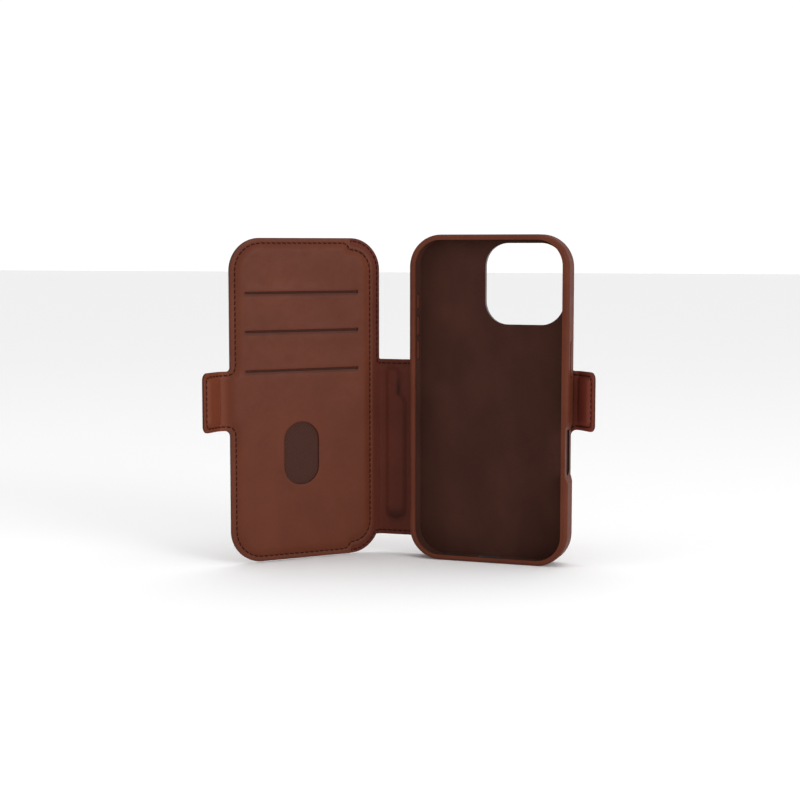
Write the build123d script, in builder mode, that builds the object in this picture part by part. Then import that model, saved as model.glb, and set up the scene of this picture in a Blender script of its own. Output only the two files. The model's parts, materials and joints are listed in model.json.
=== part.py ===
"""Wallet folio for a slab phone, standing open like a book.

A leather-covered tray holds the phone and clings by magnets to the back leaf of a folio. A short
spine joins the back leaf to the front cover, which carries card pockets, and a magnetic tab on each
free edge closes over the side of the phone. Millimetres, +Z up, the open side of the tray faces -Y,
and the origin is on the surface it stands on, under the middle of the open case.
"""
import os
from math import cos, radians, sin

from build123d import *

# ---------------------------------------------------------------- driving dimensions
# Phone and the tray that holds it
PHONE_W = 71.5
PHONE_H = 149.6
PHONE_FIT = 0.2
CAVITY_DEPTH = 8.6
CAVITY_R = 12.6
LIP_OVERHANG = 0.45
SIDE_WALL = 2.65
END_WALL = 2.0
SHELL_T = 11.7
SHELL_R = 15.2
SHELL_HIDE = 0.8
TRAY_BACK = 1.0
SHELL_LINING = 0.25
BACK_ROUND = 2.0
FRONT_ROUND = 1.9

# Steel plate between tray and hide, which the magnets pull on
PLATE_W = 44.0
PLATE_H = 66.0
PLATE_T = 0.4
PLATE_R = 4.0
PLATE_Z = 68.0

# Camera window, seen from the open side of the tray
CAMERA_X = 15.0
CAMERA_Z = 131.0
CAMERA_SIZE = 38.0
CAMERA_R = 11.0
CAMERA_RING = 1.2
RING_SETBACK = 0.1

# Keys in the side walls: side (+1 right, -1 left), height of the middle, length
KEYS = {
    "side_button": (1, 96.5, 16.4),
    "volume_up_button": (-1, 111.0, 9.0),
    "volume_down_button": (-1, 99.5, 9.0),
    "action_button": (-1, 122.5, 7.0),
}
KEY_W = 3.2
KEY_GAP = 0.3
KEY_PROUD = 0.3
KEY_DEPTH_FROM_BACK = 5.6
KEY_EDGE = 0.25
KEY_SHANK = 2.5

# Flange that keeps a key in its hole, and the room for it behind the wall
FLANGE_RIM = 0.8
FLANGE_T = 0.3
FLANGE_SEAT = 1.95
FLANGE_ROOM_RIM = 1.1
FLANGE_ROOM = 0.8

# Slider recess in the right wall
RECESS_Z = 53.4
RECESS_FLAT = 21.6
RECESS_RAMP = 3.4
RECESS_DEPTH = 1.2
RECESS_FROM_BACK = 12.0
RECESS_SPREAD = 0.3
WINDOW_L = 21.4
WINDOW_W = 5.4

# Charging port and speaker slots in the bottom wall
PORT_L = 13.4
PORT_W = 6.4
SPEAKER_L = 12.0
SPEAKER_W = 2.6
SPEAKER_X = 19.0

# Leaves of the folio: one hide outside, boards inside, lining on the inner side
HIDE = 0.9
LINING = 0.5
LEAF_R = 15.2
SHELL_GAP = 0.3
BACK_LINING = 0.4
BACK_BOARD = 0.9
BACK_LEFT = -39.2
BACK_RIGHT = 36.9
LEAF_H = 154.0
BOARD_INSET = 2.2
BACK_WINDOW_RIM = 0.5
BOARD_WINDOW_RIM = 1.3
FOLD_X = -40.7
SPINE_W = 16.8
SPINE_ANGLE = 2.0
SPINE_Z0 = 8.8
SPINE_Z1 = 94.3
FOLD_GAP = 0.6
COVER_START = 1.3
COVER_W = 77.0
COVER_Z0 = 0.6
COVER_Z1 = 152.4
COVER_ANGLE = 46.4

# Raised stiffener of the spine, under the lining
PAD_FROM_FOLD = 4.8
PAD_W = 7.8
PAD_R = 3.3
PAD_Z0 = 16.4
PAD_Z1 = 77.0
PAD_NARROW_Z1 = 89.3
PAD_NARROW_W = 4.6
PAD_T = 0.8

# Layers of the cover, counted inward from the middle of its hide
COVER_BOARD = 0.6
COVER_LINING = 0.4
TWILL = 0.2
FACE_T = 0.75
FACE_START = 5.0
FACE_STEP = 17.0
POCKET_INNER = 5.9

# Card slits and thumb window in the pocket face
SLIT_Z = (127.0, 109.0, 90.6)
SLIT_L = 57.8
SLIT_H = 1.2
SLIT_MID = 42.3
SLIT_RELIEF_R = 0.9
THUMB_MID = 43.1
THUMB_Z = 51.0
THUMB_W = 17.6
THUMB_H = 29.8

# Fabric bags behind the slits
DIVIDER_SIDE = 1.0
DIVIDER_ABOVE = 2.0
DIVIDER_BELOW = 3.0
DIVIDER_R = 1.5

# Closing tabs
TAB_Z = 77.0
TAB_H = 27.6
TAB_R = 3.2
TAB_GAP = 0.8
TAB_LEAD = 1.0
COVER_TAB_HINGE = 81.4
COVER_TAB_BEND = 36.0
COVER_TAB_BEND_R = 5.0
COVER_TAB_TAIL = 11.0
BACK_TAB_HINGE = 38.6
BACK_TAB_BEND = 45.0
BACK_TAB_BEND_R = 4.0
BACK_TAB_TAIL = 11.0
TAB_ROOT = 2.0
TAB_PAD_START = 0.8
TAB_PAD_END = 3.2
TAB_PAD_SIDE = 4.0
TAB_PAD_R = 1.0

# Magnets
MAGNET_T = 0.8
MAGNET_R = 6.0
MAGNET_PITCH_X = 26.0
MAGNET_PITCH_Z = 24.0

# Seams
SEAM_INSET = 2.4
SEAM_W = 0.5
SEAM_DEPTH = 0.25
SEAM_END = 0.5
EDGE_SEAM_INSET = 1.3
FACE_SEAM_START = 6.8
SPINE_SEAM_INSET = 1.9
TAB_SEAM_INSET = 1.7
TAB_SEAM_R = 2.0

# Lengths of cutting tools: through any one wall or leaf, past an edge, and past a whole leaf
THROUGH = 4.0
OVERCUT = 1.0
FAR = 100.0

# Where the shell stands, so that the origin is under the middle of the open case
SHELL_X = 33.5
SHELL_Y = 34.8

# ---------------------------------------------------------------- derived sizes and planes
CAVITY_W = PHONE_W + 2 * PHONE_FIT
CAVITY_H = PHONE_H + 2 * PHONE_FIT
SHELL_W = CAVITY_W + 2 * SIDE_WALL
SHELL_H = CAVITY_H + 2 * END_WALL
TRAY_FLOOR = SHELL_HIDE + TRAY_BACK
CAVITY_FLOOR = TRAY_FLOOR + SHELL_LINING
LIP_FROM_BACK = CAVITY_FLOOR + CAVITY_DEPTH
TRAY_FRONT = SHELL_T - SHELL_HIDE
MOUTH_W = CAVITY_W - 2 * LIP_OVERHANG
MOUTH_H = CAVITY_H - 2 * LIP_OVERHANG
MOUTH_R = CAVITY_R - LIP_OVERHANG
HIDE_MID_Y = SHELL_GAP + BACK_LINING + BACK_BOARD + HIDE / 2
TAB_Z0 = TAB_Z - TAB_H / 2
TAB_Z1 = TAB_Z + TAB_H / 2

SHELL = Plane(origin=(SHELL_X, SHELL_Y, SHELL_H / 2), x_dir=(1, 0, 0), z_dir=(0, -1, 0))


def leaf_plane(x, y, z, angle):
    """Plane of a leaf that runs left from (x, y), turned by angle towards the open side.

    Its X points back along the leaf, its Y up, and its Z out of the inner face.
    """
    turn = radians(angle)
    return Plane(origin=(x, y, z), x_dir=(cos(turn), sin(turn), 0), z_dir=(sin(turn), -cos(turn), 0))


BACK = leaf_plane(SHELL_X, SHELL_Y + HIDE_MID_Y, LEAF_H / 2, 0)
FOLD_1 = (SHELL_X + FOLD_X, SHELL_Y + HIDE_MID_Y)
SPINE = leaf_plane(*FOLD_1, 0, SPINE_ANGLE)
FOLD_2 = (
    FOLD_1[0] - SPINE_W * cos(radians(SPINE_ANGLE)),
    FOLD_1[1] - SPINE_W * sin(radians(SPINE_ANGLE)),
)
COVER_MID_Z = (COVER_Z0 + COVER_Z1) / 2
COVER_H = COVER_Z1 - COVER_Z0
COVER = leaf_plane(*FOLD_2, COVER_MID_Z, COVER_ANGLE)
COVER_MID = -(COVER_START + COVER_W / 2)

# Levels in the cover, along its Z
LEVEL_HIDE = -HIDE / 2
LEVEL_BOARD = HIDE / 2
LEVEL_LINING = LEVEL_BOARD + COVER_BOARD
LEVEL_BACKING = LEVEL_LINING + COVER_LINING
LEVEL_DIVIDER = LEVEL_BACKING + TWILL
LEVEL_FACE = LEVEL_DIVIDER + TWILL
LEVEL_TOP = LEVEL_FACE + FACE_T


def wall_plane(side, z):
    """Plane on the outside of a side wall of the shell, looking out, at the keys' height."""
    origin = (SHELL_X + side * SHELL_W / 2, SHELL_Y - KEY_DEPTH_FROM_BACK, z)
    return Plane(origin=origin, x_dir=(0, side, 0), z_dir=(side, 0, 0))


def key_slot(side, z, length, grow):
    """Outline of a key, or of the hole round it when grown."""
    with BuildSketch(wall_plane(side, z)) as outline:
        SlotOverall(length + 2 * grow, KEY_W + 2 * grow, rotation=90)
    return outline.sketch


def shell_outline(inset, level):
    """Outline of the shell, drawn in by inset, at a height above its back face."""
    with BuildSketch(SHELL.offset(level)) as outline:
        RectangleRounded(SHELL_W - 2 * inset, SHELL_H - 2 * inset, SHELL_R - inset)
    return outline.sketch


def camera_outline(grow, level):
    """Outline of the camera window, grown all round."""
    with BuildSketch(SHELL.offset(level)) as outline:
        with Locations((CAMERA_X, CAMERA_Z - SHELL_H / 2)):
            RectangleRounded(CAMERA_SIZE + 2 * grow, CAMERA_SIZE + 2 * grow, CAMERA_R + grow)
    return outline.sketch


def recess_profile(inset):
    """Side recess with a ramp at each end, drawn in by the thickness of the hide on it."""
    edge = SHELL_W / 2
    floor = edge - RECESS_DEPTH - inset
    flat = RECESS_FLAT / 2
    ramp = flat + RECESS_RAMP
    spread = inset * RECESS_SPREAD
    middle = RECESS_Z - SHELL_H / 2
    with BuildSketch(SHELL.offset(-OVERCUT)) as outline:
        with BuildLine():
            Polyline(
                (edge + OVERCUT, middle + ramp + spread),
                (edge - inset, middle + ramp + spread),
                (floor, middle + flat + spread),
                (floor, middle - flat - spread),
                (edge - inset, middle - ramp - spread),
                (edge + OVERCUT, middle - ramp - spread),
                close=True,
            )
        make_face()
    return outline.sketch


def port_outline():
    """Slots in the bottom wall: the charging port between two speaker slots."""
    plane = Plane(
        origin=(SHELL_X, SHELL_Y - KEY_DEPTH_FROM_BACK, 0), x_dir=(1, 0, 0), z_dir=(0, 0, -1)
    )
    with BuildSketch(plane) as outline:
        SlotOverall(PORT_L, PORT_W)
        with Locations((-SPEAKER_X, 0), (SPEAKER_X, 0)):
            SlotOverall(SPEAKER_L, SPEAKER_W)
    return outline.sketch


def recess_window():
    """Open window on the floor of the side recess."""
    with BuildSketch(wall_plane(1, RECESS_Z)) as outline:
        SlotOverall(WINDOW_L, WINDOW_W, rotation=90)
    return outline.sketch


def cut_wall_openings():
    """Cut the key holes, the recess window and the bottom slots from the part being built."""
    for side, z, length in KEYS.values():
        extrude(key_slot(side, z, length, KEY_GAP), amount=-THROUGH, mode=Mode.SUBTRACT)
    extrude(recess_window(), amount=-THROUGH, mode=Mode.SUBTRACT)
    extrude(port_outline(), amount=-THROUGH, mode=Mode.SUBTRACT)


def camera_cut():
    """Cut the camera window, ring included, through the back of the part being built."""
    extrude(camera_outline(CAMERA_RING, -OVERCUT), amount=THROUGH, mode=Mode.SUBTRACT)


# ---------------------------------------------------------------- shell: tray, hide, lining, keys
with BuildPart() as tray_body:
    # Outer body of the tray, which the hide is stretched over
    extrude(shell_outline(SHELL_HIDE, SHELL_HIDE), amount=TRAY_FRONT - SHELL_HIDE)
    fillet(tray_body.faces().sort_by(Axis.Y)[-1].outer_wire().edges(), BACK_ROUND - SHELL_HIDE)
    fillet(tray_body.faces().sort_by(Axis.Y)[0].outer_wire().edges(), FRONT_ROUND - SHELL_HIDE)
    recess_reach = RECESS_FROM_BACK + OVERCUT + SHELL_HIDE
    extrude(recess_profile(SHELL_HIDE), amount=recess_reach, mode=Mode.SUBTRACT)


def plate_outline():
    """Outline of the steel plate that the magnets pull on."""
    with BuildSketch(SHELL.offset(SHELL_HIDE)) as outline:
        with Locations((0, PLATE_Z - SHELL_H / 2)):
            RectangleRounded(PLATE_W, PLATE_H, PLATE_R)
    return outline.sketch


with BuildPart() as shell_tray:
    add(tray_body.part)
    with BuildSketch(SHELL.offset(TRAY_FLOOR)):
        RectangleRounded(CAVITY_W + 2 * SHELL_LINING, CAVITY_H + 2 * SHELL_LINING, CAVITY_R + SHELL_LINING)
    extrude(amount=LIP_FROM_BACK - TRAY_FLOOR, mode=Mode.SUBTRACT)
    with BuildSketch(SHELL.offset(LIP_FROM_BACK)):
        RectangleRounded(MOUTH_W, MOUTH_H, MOUTH_R)
    extrude(amount=OVERCUT, mode=Mode.SUBTRACT)
    extrude(plate_outline(), amount=PLATE_T, mode=Mode.SUBTRACT)
    camera_cut()
    cut_wall_openings()
    # Pockets behind the wall for the flange of each key
    for side, z, length in KEYS.values():
        room_floor = -side * (SIDE_WALL - SHELL_LINING)
        room = key_slot(side, z, length, FLANGE_ROOM_RIM).moved(Location((room_floor, 0, 0)))
        extrude(room, amount=FLANGE_ROOM, dir=(side, 0, 0), mode=Mode.SUBTRACT)
shell_tray.part.label = "shell_tray"

with BuildPart() as shell_leather:
    extrude(shell_outline(0, 0), amount=SHELL_T)
    fillet(shell_leather.faces().sort_by(Axis.Y)[-1].outer_wire().edges(), BACK_ROUND)
    fillet(shell_leather.faces().sort_by(Axis.Y)[0].outer_wire().edges(), FRONT_ROUND)
    extrude(recess_profile(0), amount=RECESS_FROM_BACK + OVERCUT, mode=Mode.SUBTRACT)
    add(tray_body.part, mode=Mode.SUBTRACT)
    with BuildSketch(SHELL.offset(TRAY_FRONT)):
        RectangleRounded(MOUTH_W, MOUTH_H, MOUTH_R)
    extrude(amount=SHELL_HIDE, mode=Mode.SUBTRACT)
    camera_cut()
    cut_wall_openings()
shell_leather.part.label = "shell_leather"

with BuildPart() as shell_lining:
    with BuildSketch(SHELL.offset(TRAY_FLOOR)):
        RectangleRounded(CAVITY_W + 2 * SHELL_LINING, CAVITY_H + 2 * SHELL_LINING, CAVITY_R + SHELL_LINING)
    extrude(amount=LIP_FROM_BACK - TRAY_FLOOR)
    with BuildSketch(SHELL.offset(CAVITY_FLOOR)):
        RectangleRounded(CAVITY_W, CAVITY_H, CAVITY_R)
    extrude(amount=CAVITY_DEPTH, mode=Mode.SUBTRACT)
    extrude(camera_outline(0, 0), amount=THROUGH, mode=Mode.SUBTRACT)
    cut_wall_openings()
shell_lining.part.label = "shell_lining"

with BuildPart() as shell_steel_plate:
    extrude(plate_outline(), amount=PLATE_T)
shell_steel_plate.part.label = "shell_steel_plate"

with BuildPart() as camera_ring:
    extrude(camera_outline(CAMERA_RING, RING_SETBACK), amount=TRAY_FLOOR - RING_SETBACK)
    extrude(camera_outline(0, 0), amount=THROUGH, mode=Mode.SUBTRACT)
camera_ring.part.label = "camera_ring"

key_parts = {}
for key_name, (side, z, length) in KEYS.items():
    with BuildPart() as key:
        body = key_slot(side, z, length, 0).moved(Location((side * KEY_PROUD, 0, 0)))
        extrude(body, amount=KEY_PROUD + KEY_SHANK, dir=(-side, 0, 0))
        fillet(key.faces().sort_by(Axis.X)[-1 if side > 0 else 0].edges(), KEY_EDGE)
        flange = key_slot(side, z, length, FLANGE_RIM).moved(Location((-side * FLANGE_SEAT, 0, 0)))
        extrude(flange, amount=FLANGE_T, dir=(side, 0, 0))
    key.part.label = key_name
    key_parts[key_name] = key.part


# ---------------------------------------------------------------- back leaf
def tongue(plane, edge, direction, reach, low, high):
    """Short ear of hide at the root of a closing tab, on a leaf's plane, low to high along its Z."""
    with BuildPart() as ear:
        with BuildSketch(plane.offset(low)):
            with Locations((edge + direction * (reach - TAB_ROOT) / 2, 0)):
                Rectangle(reach + TAB_ROOT, TAB_H)
        extrude(amount=high - low)
    return ear.part


BACK_MID = (BACK_LEFT + BACK_RIGHT) / 2
BACK_W = BACK_RIGHT - BACK_LEFT
BACK_TAB_PLANE = leaf_plane(SHELL_X, SHELL_Y + HIDE_MID_Y, TAB_Z, 0)
BACK_INNER = HIDE_MID_Y - SHELL_GAP


def back_outline(inset, level):
    """Outline of the back leaf, drawn in by inset."""
    with BuildSketch(BACK.offset(level)) as outline:
        with Locations((BACK_MID, 0)):
            RectangleRounded(BACK_W - 2 * inset, LEAF_H - 2 * inset, LEAF_R - inset)
    return outline.sketch


def back_window(grow, level):
    """Camera window in the back leaf."""
    with BuildSketch(BACK.offset(level)) as outline:
        with Locations((CAMERA_X, CAMERA_Z - LEAF_H / 2)):
            RectangleRounded(CAMERA_SIZE + 2 * grow, CAMERA_SIZE + 2 * grow, CAMERA_R + grow)
    return outline.sketch


def seam_loop(plane, middle, width, height, radius):
    """Closed loop as wide as a line of stitches."""
    with BuildSketch(plane) as loop:
        with Locations(middle):
            RectangleRounded(width, height, radius)
            RectangleRounded(width - 2 * SEAM_W, height - 2 * SEAM_W, radius - SEAM_W, mode=Mode.SUBTRACT)
    return loop.sketch


BACK_SEAM = seam_loop(
    BACK.offset(-HIDE / 2),
    (BACK_MID, 0),
    BACK_W - 2 * SEAM_INSET,
    LEAF_H - 2 * SEAM_INSET,
    LEAF_R - SEAM_INSET,
)

with BuildPart() as back_leather:
    extrude(back_outline(0, -HIDE / 2), amount=HIDE)
    reach = BACK_TAB_HINGE - TAB_GAP - BACK_RIGHT
    add(tongue(BACK_TAB_PLANE, BACK_RIGHT, 1, reach, -HIDE / 2, HIDE / 2))
    extrude(back_window(BACK_WINDOW_RIM, -OVERCUT), amount=THROUGH, mode=Mode.SUBTRACT)
    extrude(BACK_SEAM, amount=SEAM_DEPTH, mode=Mode.SUBTRACT)
back_leather.part.label = "back_leather"

with BuildPart() as back_magnets:
    with BuildSketch(BACK.offset(HIDE / 2)):
        with Locations((0, PLATE_Z - LEAF_H / 2)):
            with GridLocations(MAGNET_PITCH_X, MAGNET_PITCH_Z, 2, 3):
                Circle(MAGNET_R)
    extrude(amount=MAGNET_T)
back_magnets.part.label = "back_magnets"

with BuildPart() as back_board:
    extrude(back_outline(BOARD_INSET, HIDE / 2), amount=BACK_BOARD)
    extrude(back_window(BOARD_WINDOW_RIM, 0), amount=THROUGH, mode=Mode.SUBTRACT)
    add(back_magnets.part, mode=Mode.SUBTRACT)
back_board.part.label = "back_board"

with BuildPart() as back_lining:
    extrude(back_outline(0, HIDE / 2), amount=BACK_INNER - HIDE / 2)
    extrude(back_outline(BOARD_INSET, HIDE / 2), amount=BACK_BOARD, mode=Mode.SUBTRACT)
    extrude(back_window(BOARD_WINDOW_RIM, HIDE / 2), amount=BACK_BOARD)
    extrude(back_window(BACK_WINDOW_RIM, 0), amount=THROUGH, mode=Mode.SUBTRACT)
    add(tongue(BACK_TAB_PLANE, BACK_RIGHT, 1, reach, HIDE / 2, HIDE / 2 + LINING))
back_lining.part.label = "back_lining"

with BuildPart() as back_thread:
    extrude(BACK_SEAM, amount=SEAM_DEPTH)
back_thread.part.label = "back_thread"

# ---------------------------------------------------------------- spine
SPINE_H = SPINE_Z1 - SPINE_Z0
SPINE_MID_Z = (SPINE_Z0 + SPINE_Z1) / 2


def spine_sheet(low, high):
    """Flat layer of the spine, between two levels on its plane."""
    with BuildPart() as sheet:
        with BuildSketch(SPINE.offset(low)):
            with Locations((-SPINE_W / 2, SPINE_MID_Z)):
                Rectangle(SPINE_W - 2 * FOLD_GAP, SPINE_H)
        extrude(amount=high - low)
    return sheet.part


def spine_pad(grow, level):
    """Stiffener of the spine: a broad strip with a narrower neck above it."""
    middle = -(PAD_FROM_FOLD + PAD_W / 2)
    middle_z = (PAD_Z0 + PAD_Z1) / 2
    neck_middle = middle - (PAD_W - PAD_NARROW_W) / 2
    with BuildSketch(SPINE.offset(level)) as outline:
        with Locations((middle, middle_z)):
            RectangleRounded(PAD_W + 2 * grow, PAD_Z1 - PAD_Z0 + 2 * grow, PAD_R)
        with Locations((neck_middle, (middle_z + PAD_NARROW_Z1) / 2)):
            Rectangle(PAD_NARROW_W + 2 * grow, PAD_NARROW_Z1 - middle_z + 2 * grow)
    return outline.sketch


def spine_seams(level):
    """Stitch lines along the top and bottom edges of the spine."""
    heights = (SPINE_Z0 + SPINE_SEAM_INSET, SPINE_Z1 - SPINE_SEAM_INSET)
    with BuildSketch(SPINE.offset(level)) as lines:
        with Locations(*[(-SPINE_W / 2, height) for height in heights]):
            Rectangle(SPINE_W - 2 * FOLD_GAP - 2 * SEAM_END, SEAM_W)
    return lines.sketch


with BuildPart() as spine_leather:
    add(spine_sheet(-HIDE / 2, HIDE / 2))
spine_leather.part.label = "spine_leather"

with BuildPart() as spine_board:
    extrude(spine_pad(0, HIDE / 2), amount=PAD_T)
spine_board.part.label = "spine_board"

with BuildPart() as spine_lining:
    add(spine_sheet(HIDE / 2, HIDE / 2 + LINING))
    extrude(spine_pad(LINING, HIDE / 2), amount=PAD_T + LINING)
    add(spine_board.part, mode=Mode.SUBTRACT)
    extrude(spine_seams(HIDE / 2 + LINING - SEAM_DEPTH), amount=SEAM_DEPTH, mode=Mode.SUBTRACT)
spine_lining.part.label = "spine_lining"

with BuildPart() as spine_thread:
    extrude(spine_seams(HIDE / 2 + LINING - SEAM_DEPTH), amount=SEAM_DEPTH)
spine_thread.part.label = "spine_thread"

# ---------------------------------------------------------------- front cover
COVER_TAB_ROOT = leaf_plane(*FOLD_2, TAB_Z, COVER_ANGLE)
COVER_EDGE = -(COVER_START + COVER_W)
COVER_REACH = COVER_TAB_HINGE - TAB_GAP - (COVER_START + COVER_W)


def cover_outline(inset, level):
    """Outline of the cover, drawn in by inset."""
    with BuildSketch(COVER.offset(level)) as outline:
        with Locations((COVER_MID, 0)):
            RectangleRounded(COVER_W - 2 * inset, COVER_H - 2 * inset, LEAF_R - inset)
    return outline.sketch


def edge_strip(level):
    """Strip of lining left bare beside the spine, which follows the cover's two corners there."""
    bare = FACE_START - COVER_START
    with BuildSketch(COVER.offset(level)) as strip:
        with Locations((COVER_MID, 0)):
            RectangleRounded(COVER_W + 2 * OVERCUT, COVER_H + 2 * OVERCUT, LEAF_R + OVERCUT)
            RectangleRounded(COVER_W - 2 * bare, COVER_H - 2 * bare, LEAF_R - bare, mode=Mode.SUBTRACT)
        with Locations((-(FACE_STEP + FAR / 2), 0)):
            Rectangle(FAR, 2 * FAR, mode=Mode.SUBTRACT)
    return strip.sketch


def face_openings(level):
    """Three card slits, each with a round relief at its spine end, and the oval thumb window."""
    with BuildSketch(COVER.offset(level)) as holes:
        for slit_z in SLIT_Z:
            with Locations((-SLIT_MID, slit_z - COVER_MID_Z)):
                SlotOverall(SLIT_L, SLIT_H)
            with Locations((-(SLIT_MID - SLIT_L / 2 + SLIT_RELIEF_R), slit_z - COVER_MID_Z)):
                Circle(SLIT_RELIEF_R)
        with Locations((-THUMB_MID, THUMB_Z - COVER_MID_Z)):
            SlotOverall(THUMB_H, THUMB_W, rotation=90)
    return holes.sketch


FACE_SEAM_W = COVER_START + COVER_W - SEAM_INSET - FACE_SEAM_START
FACE_SEAM = seam_loop(
    COVER.offset(LEVEL_TOP - SEAM_DEPTH),
    (-(FACE_SEAM_START + FACE_SEAM_W / 2), 0),
    FACE_SEAM_W,
    COVER_H - 2 * SEAM_INSET,
    LEAF_R - SEAM_INSET,
)

with BuildPart() as cover_leather:
    extrude(cover_outline(0, LEVEL_HIDE), amount=HIDE)
    add(tongue(COVER_TAB_ROOT, COVER_EDGE, -1, COVER_REACH, LEVEL_HIDE, LEVEL_BOARD))
cover_leather.part.label = "cover_leather"

with BuildPart() as cover_board:
    extrude(cover_outline(BOARD_INSET, LEVEL_BOARD), amount=COVER_BOARD)
cover_board.part.label = "cover_board"


def edge_seam(level):
    """Stitch line down the bare strip, round both of its corners, stopping at the spine."""
    with BuildSketch(COVER.offset(level)) as line:
        with Locations((COVER_MID, 0)):
            outer = EDGE_SEAM_INSET
            inner = EDGE_SEAM_INSET + SEAM_W
            RectangleRounded(COVER_W - 2 * outer, COVER_H - 2 * outer, LEAF_R - outer)
            RectangleRounded(COVER_W - 2 * inner, COVER_H - 2 * inner, LEAF_R - inner, mode=Mode.SUBTRACT)
        with Locations((-(FACE_STEP - SEAM_END + FAR / 2), 0)):
            Rectangle(FAR, 2 * FAR, mode=Mode.SUBTRACT)
        with Locations((-COVER_START, SPINE_MID_Z - COVER_MID_Z)):
            Rectangle(2 * LEAF_R, SPINE_H, mode=Mode.SUBTRACT)
    return line.sketch


with BuildPart() as cover_lining:
    extrude(cover_outline(0, LEVEL_BOARD), amount=LEVEL_BACKING - LEVEL_BOARD)
    extrude(cover_outline(BOARD_INSET, LEVEL_BOARD), amount=COVER_BOARD, mode=Mode.SUBTRACT)
    add(tongue(COVER_TAB_ROOT, COVER_EDGE, -1, COVER_REACH, LEVEL_BOARD, LEVEL_BOARD + LINING))
    extrude(edge_seam(LEVEL_BACKING - SEAM_DEPTH), amount=SEAM_DEPTH, mode=Mode.SUBTRACT)
cover_lining.part.label = "cover_lining"

with BuildPart() as cover_thread:
    extrude(edge_seam(LEVEL_BACKING - SEAM_DEPTH), amount=SEAM_DEPTH)
cover_thread.part.label = "cover_thread"

with BuildPart() as pocket_backing:
    extrude(cover_outline(POCKET_INNER, LEVEL_BACKING), amount=TWILL)
pocket_backing.part.label = "pocket_backing"

# Each divider is the fabric bag behind one slit, reaching down to just above the next slit
divider_parts = {}
DIVIDER_W = SLIT_L + 2 * DIVIDER_SIDE
DIVIDER_ENDS = (SLIT_Z[1], SLIT_Z[2], COVER_Z0 + POCKET_INNER)
for number, (slit_z, end) in enumerate(zip(SLIT_Z, DIVIDER_ENDS), start=1):
    top = slit_z + DIVIDER_ABOVE
    bottom = end + DIVIDER_BELOW
    with BuildPart() as divider:
        with BuildSketch(COVER.offset(LEVEL_DIVIDER)):
            with Locations((-SLIT_MID, (top + bottom) / 2 - COVER_MID_Z)):
                RectangleRounded(DIVIDER_W, top - bottom, DIVIDER_R)
        extrude(amount=TWILL)
    divider.part.label = f"pocket_divider_{number}"
    divider_parts[divider.part.label] = divider.part

with BuildPart() as pocket_face:
    extrude(cover_outline(0, LEVEL_BACKING), amount=LEVEL_TOP - LEVEL_BACKING)
    extrude(cover_outline(POCKET_INNER, LEVEL_BACKING), amount=2 * TWILL, mode=Mode.SUBTRACT)
    extrude(edge_strip(LEVEL_BACKING), amount=LEVEL_TOP - LEVEL_BACKING, mode=Mode.SUBTRACT)
    extrude(face_openings(LEVEL_BACKING), amount=LEVEL_TOP - LEVEL_BACKING, mode=Mode.SUBTRACT)
    extrude(FACE_SEAM, amount=SEAM_DEPTH, mode=Mode.SUBTRACT)
pocket_face.part.label = "pocket_face"

with BuildPart() as pocket_thread:
    extrude(FACE_SEAM, amount=SEAM_DEPTH)
pocket_thread.part.label = "pocket_thread"

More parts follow.
